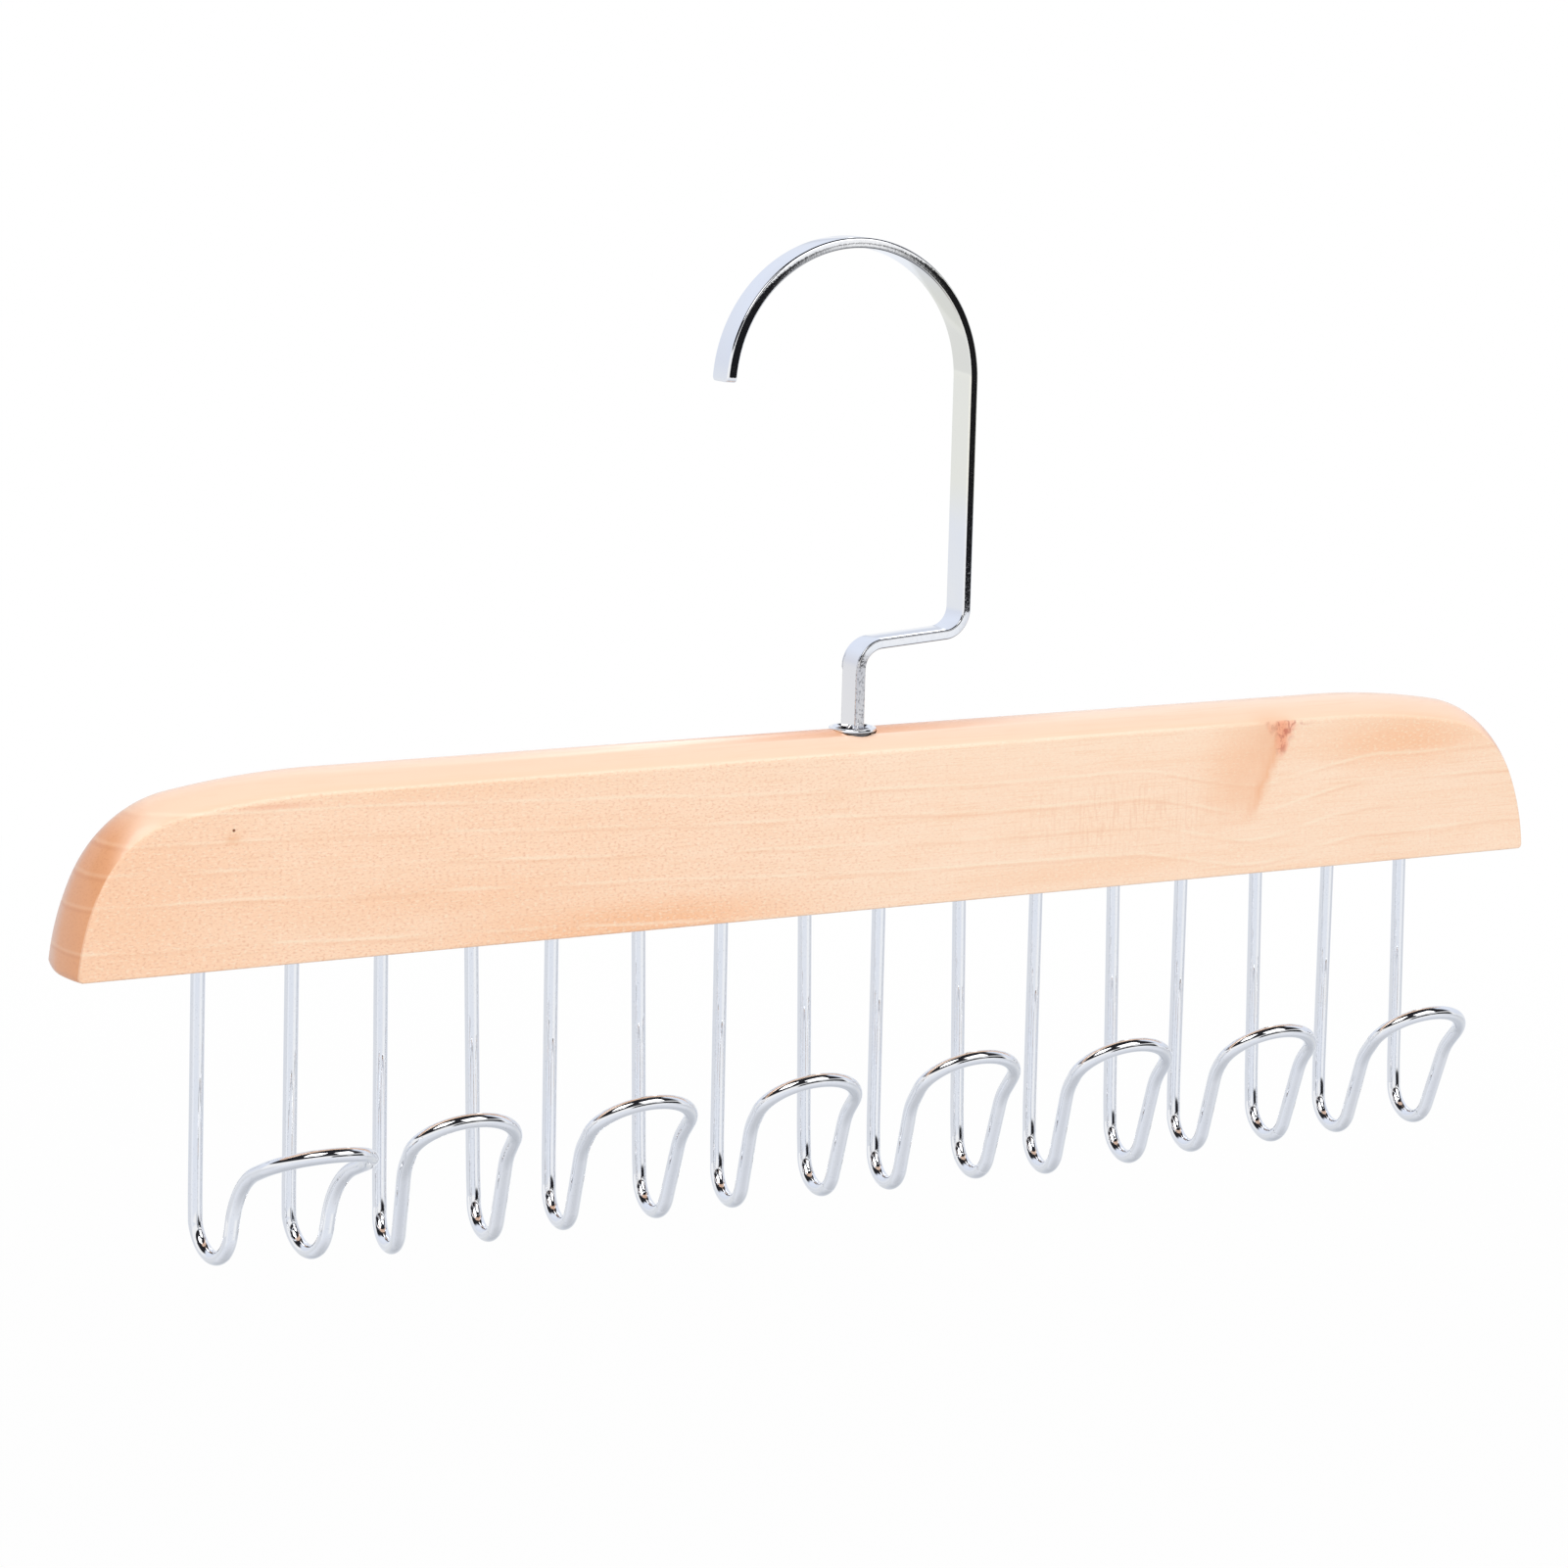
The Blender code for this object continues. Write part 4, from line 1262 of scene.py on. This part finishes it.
def tones(graph, value, stops):
    """Colour read off a row of tones at a value from -1 to 1."""
    ramp = graph.add("ShaderNodeValToRGB")
    elements = ramp.color_ramp.elements
    for _ in range(len(stops) - len(elements)):
        elements.new(1)
    for element, (place, *tone) in zip(elements, stops):
        element.position = (place + 1) / 2
        element.color = (*tone, 1)
    graph.feed(ramp.inputs["Fac"], graph.times(1 / 2, graph.plus(value, 1)))
    return ramp.outputs["Color"]


def room(graph):
    """What metal sees: a pale low room, a white front and a grey-blue back under a dark ceiling."""
    place = graph.add("ShaderNodeTexCoord").outputs["Generated"]
    facing = graph.mapped(place, rotation=(0, 0, math.pi / 2 + CAMERA_AZIMUTH))
    ahead, aside, rise = graph.split(facing)
    turn = graph.times(1 / math.pi, graph.math("ARCTAN2", aside, ahead))
    at = {"ahead": ahead, "rise": rise, "turn": turn}
    at["no_gap"] = graph.math("SUBTRACT", 1, graph.shows(at, GAP))
    values = dict(enumerate((place, CARD_NORMAL)))
    at["card"] = graph.made("ShaderNodeVectorMath", "Value", values, operation="DOT_PRODUCT")
    front = graph.lay(at, tones(graph, rise, FRONT_TONES), (DARK_STRIP,))
    back = graph.lay(at, tones(graph, rise, BACK_TONES), (SHADE, GLOW))
    colour = graph.blend(graph.shows(at, FAR_SIDE), front, back)
    colour = graph.blend(graph.shows(at, LOW_ROOM), colour, tones(graph, turn, LOW_TONES))
    return graph.lay(at, colour, (CARD,))


def make_world():
    """White to the camera, a plain pale light, and a room in reflections."""
    world = bpy.data.worlds.new("studio")
    bpy.context.scene.world = world
    world.use_nodes = True
    graph = Graph(world.node_tree)
    ray = graph.add("ShaderNodeLightPath")
    colour = graph.blend(ray.outputs["Is Glossy Ray"], WORLD_TONE, room(graph))
    colour = graph.blend(ray.outputs["Is Camera Ray"], colour, WHITE)
    graph.feed(graph.nodes["Background"].inputs["Color"], colour)


def make_lamp(lamp):
    """A square soft light turned towards the hanger."""
    data = bpy.data.lights.new(lamp.name, "AREA")
    data.size = lamp.size
    data.energy = lamp.power
    item = bpy.data.objects.new(lamp.name, data)
    bpy.context.scene.collection.objects.link(item)
    back = Vector(lamp.place) - Vector(LAMP_TARGET)
    turn = back.to_track_quat("Z", "Y").to_matrix().to_4x4()
    item.matrix_world = Matrix.Translation(lamp.place) @ turn


def make_floor():
    """A plain white floor below the hanger, nearly as bright as the backdrop."""
    signs = ((-1, -1), (1, -1), (1, 1), (-1, 1))
    corners = [(x * FLOOR_HALF, y * FLOOR_HALF, FLOOR_Z) for x, y in signs]
    mesh = bpy.data.meshes.new("floor")
    mesh.from_pydata(corners, [], [(0, 1, 2, 3)])
    material, graph, shader = new_material("floor")
    shader["Base Color"].default_value = FLOOR_TONE
    shader["Roughness"].default_value = 1
    white = graph.add("ShaderNodeEmission")
    ray = graph.add("ShaderNodeLightPath")
    x, y, _ = graph.split(graph.add("ShaderNodeTexCoord").outputs["Object"])
    away = graph.math("SQRT", graph.plus(graph.times(x, x), graph.times(y, y)))
    far = graph.window(away, *FLOOR_FAR_LIMITS)
    share = graph.plus(FLOOR_SHARE, graph.times(1 - FLOOR_SHARE, far))
    share = graph.times(share, ray.outputs["Is Camera Ray"])
    mix = graph.add("ShaderNodeMixShader")
    plain = graph.nodes["Principled BSDF"]
    for socket, value in zip(mix.inputs, (share, plain.outputs[0], white.outputs[0])):
        graph.feed(socket, value)
    graph.feed(graph.nodes["Material Output"].inputs["Surface"], mix.outputs[0])
    mesh.materials.append(material)
    floor = bpy.data.objects.new("floor", mesh)
    floor.visible_glossy = False
    bpy.context.scene.collection.objects.link(floor)


def place_piece(item, body, node):
    """Let a new piece ride on a body in place of a CAD node."""
    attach(item, body)
    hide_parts(node)


def dress(slot, material):
    """Give a piece that is carried over its own material."""
    slot.link = "OBJECT"
    slot.material = material


def build():
    """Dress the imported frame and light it."""
    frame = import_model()
    wood = make_wood()
    wire = make_metal(WIRE_CHROME)
    strip = make_strip_chrome()
    place_piece(make_hook(strip), "hook", "hook")
    place_piece(make_bar(wood), "hanger", "bar")
    place_piece(make_ferrule(make_metal(FERRULE_CHROME)), "hanger", "ferrule")
    for index in range(LOOP_COUNT):
        place_piece(make_loop(index, wire), "hanger", f"belt_loop_{index + 1}")
    dress(frame["nodes"]["retaining_washer"].material_slots[0], make_metal(ZINC))
    make_camera()
    make_world()
    for lamp in LAMPS:
        make_lamp(lamp)
    make_floor()
    bpy.context.scene.view_settings.view_transform = "Standard"


build()
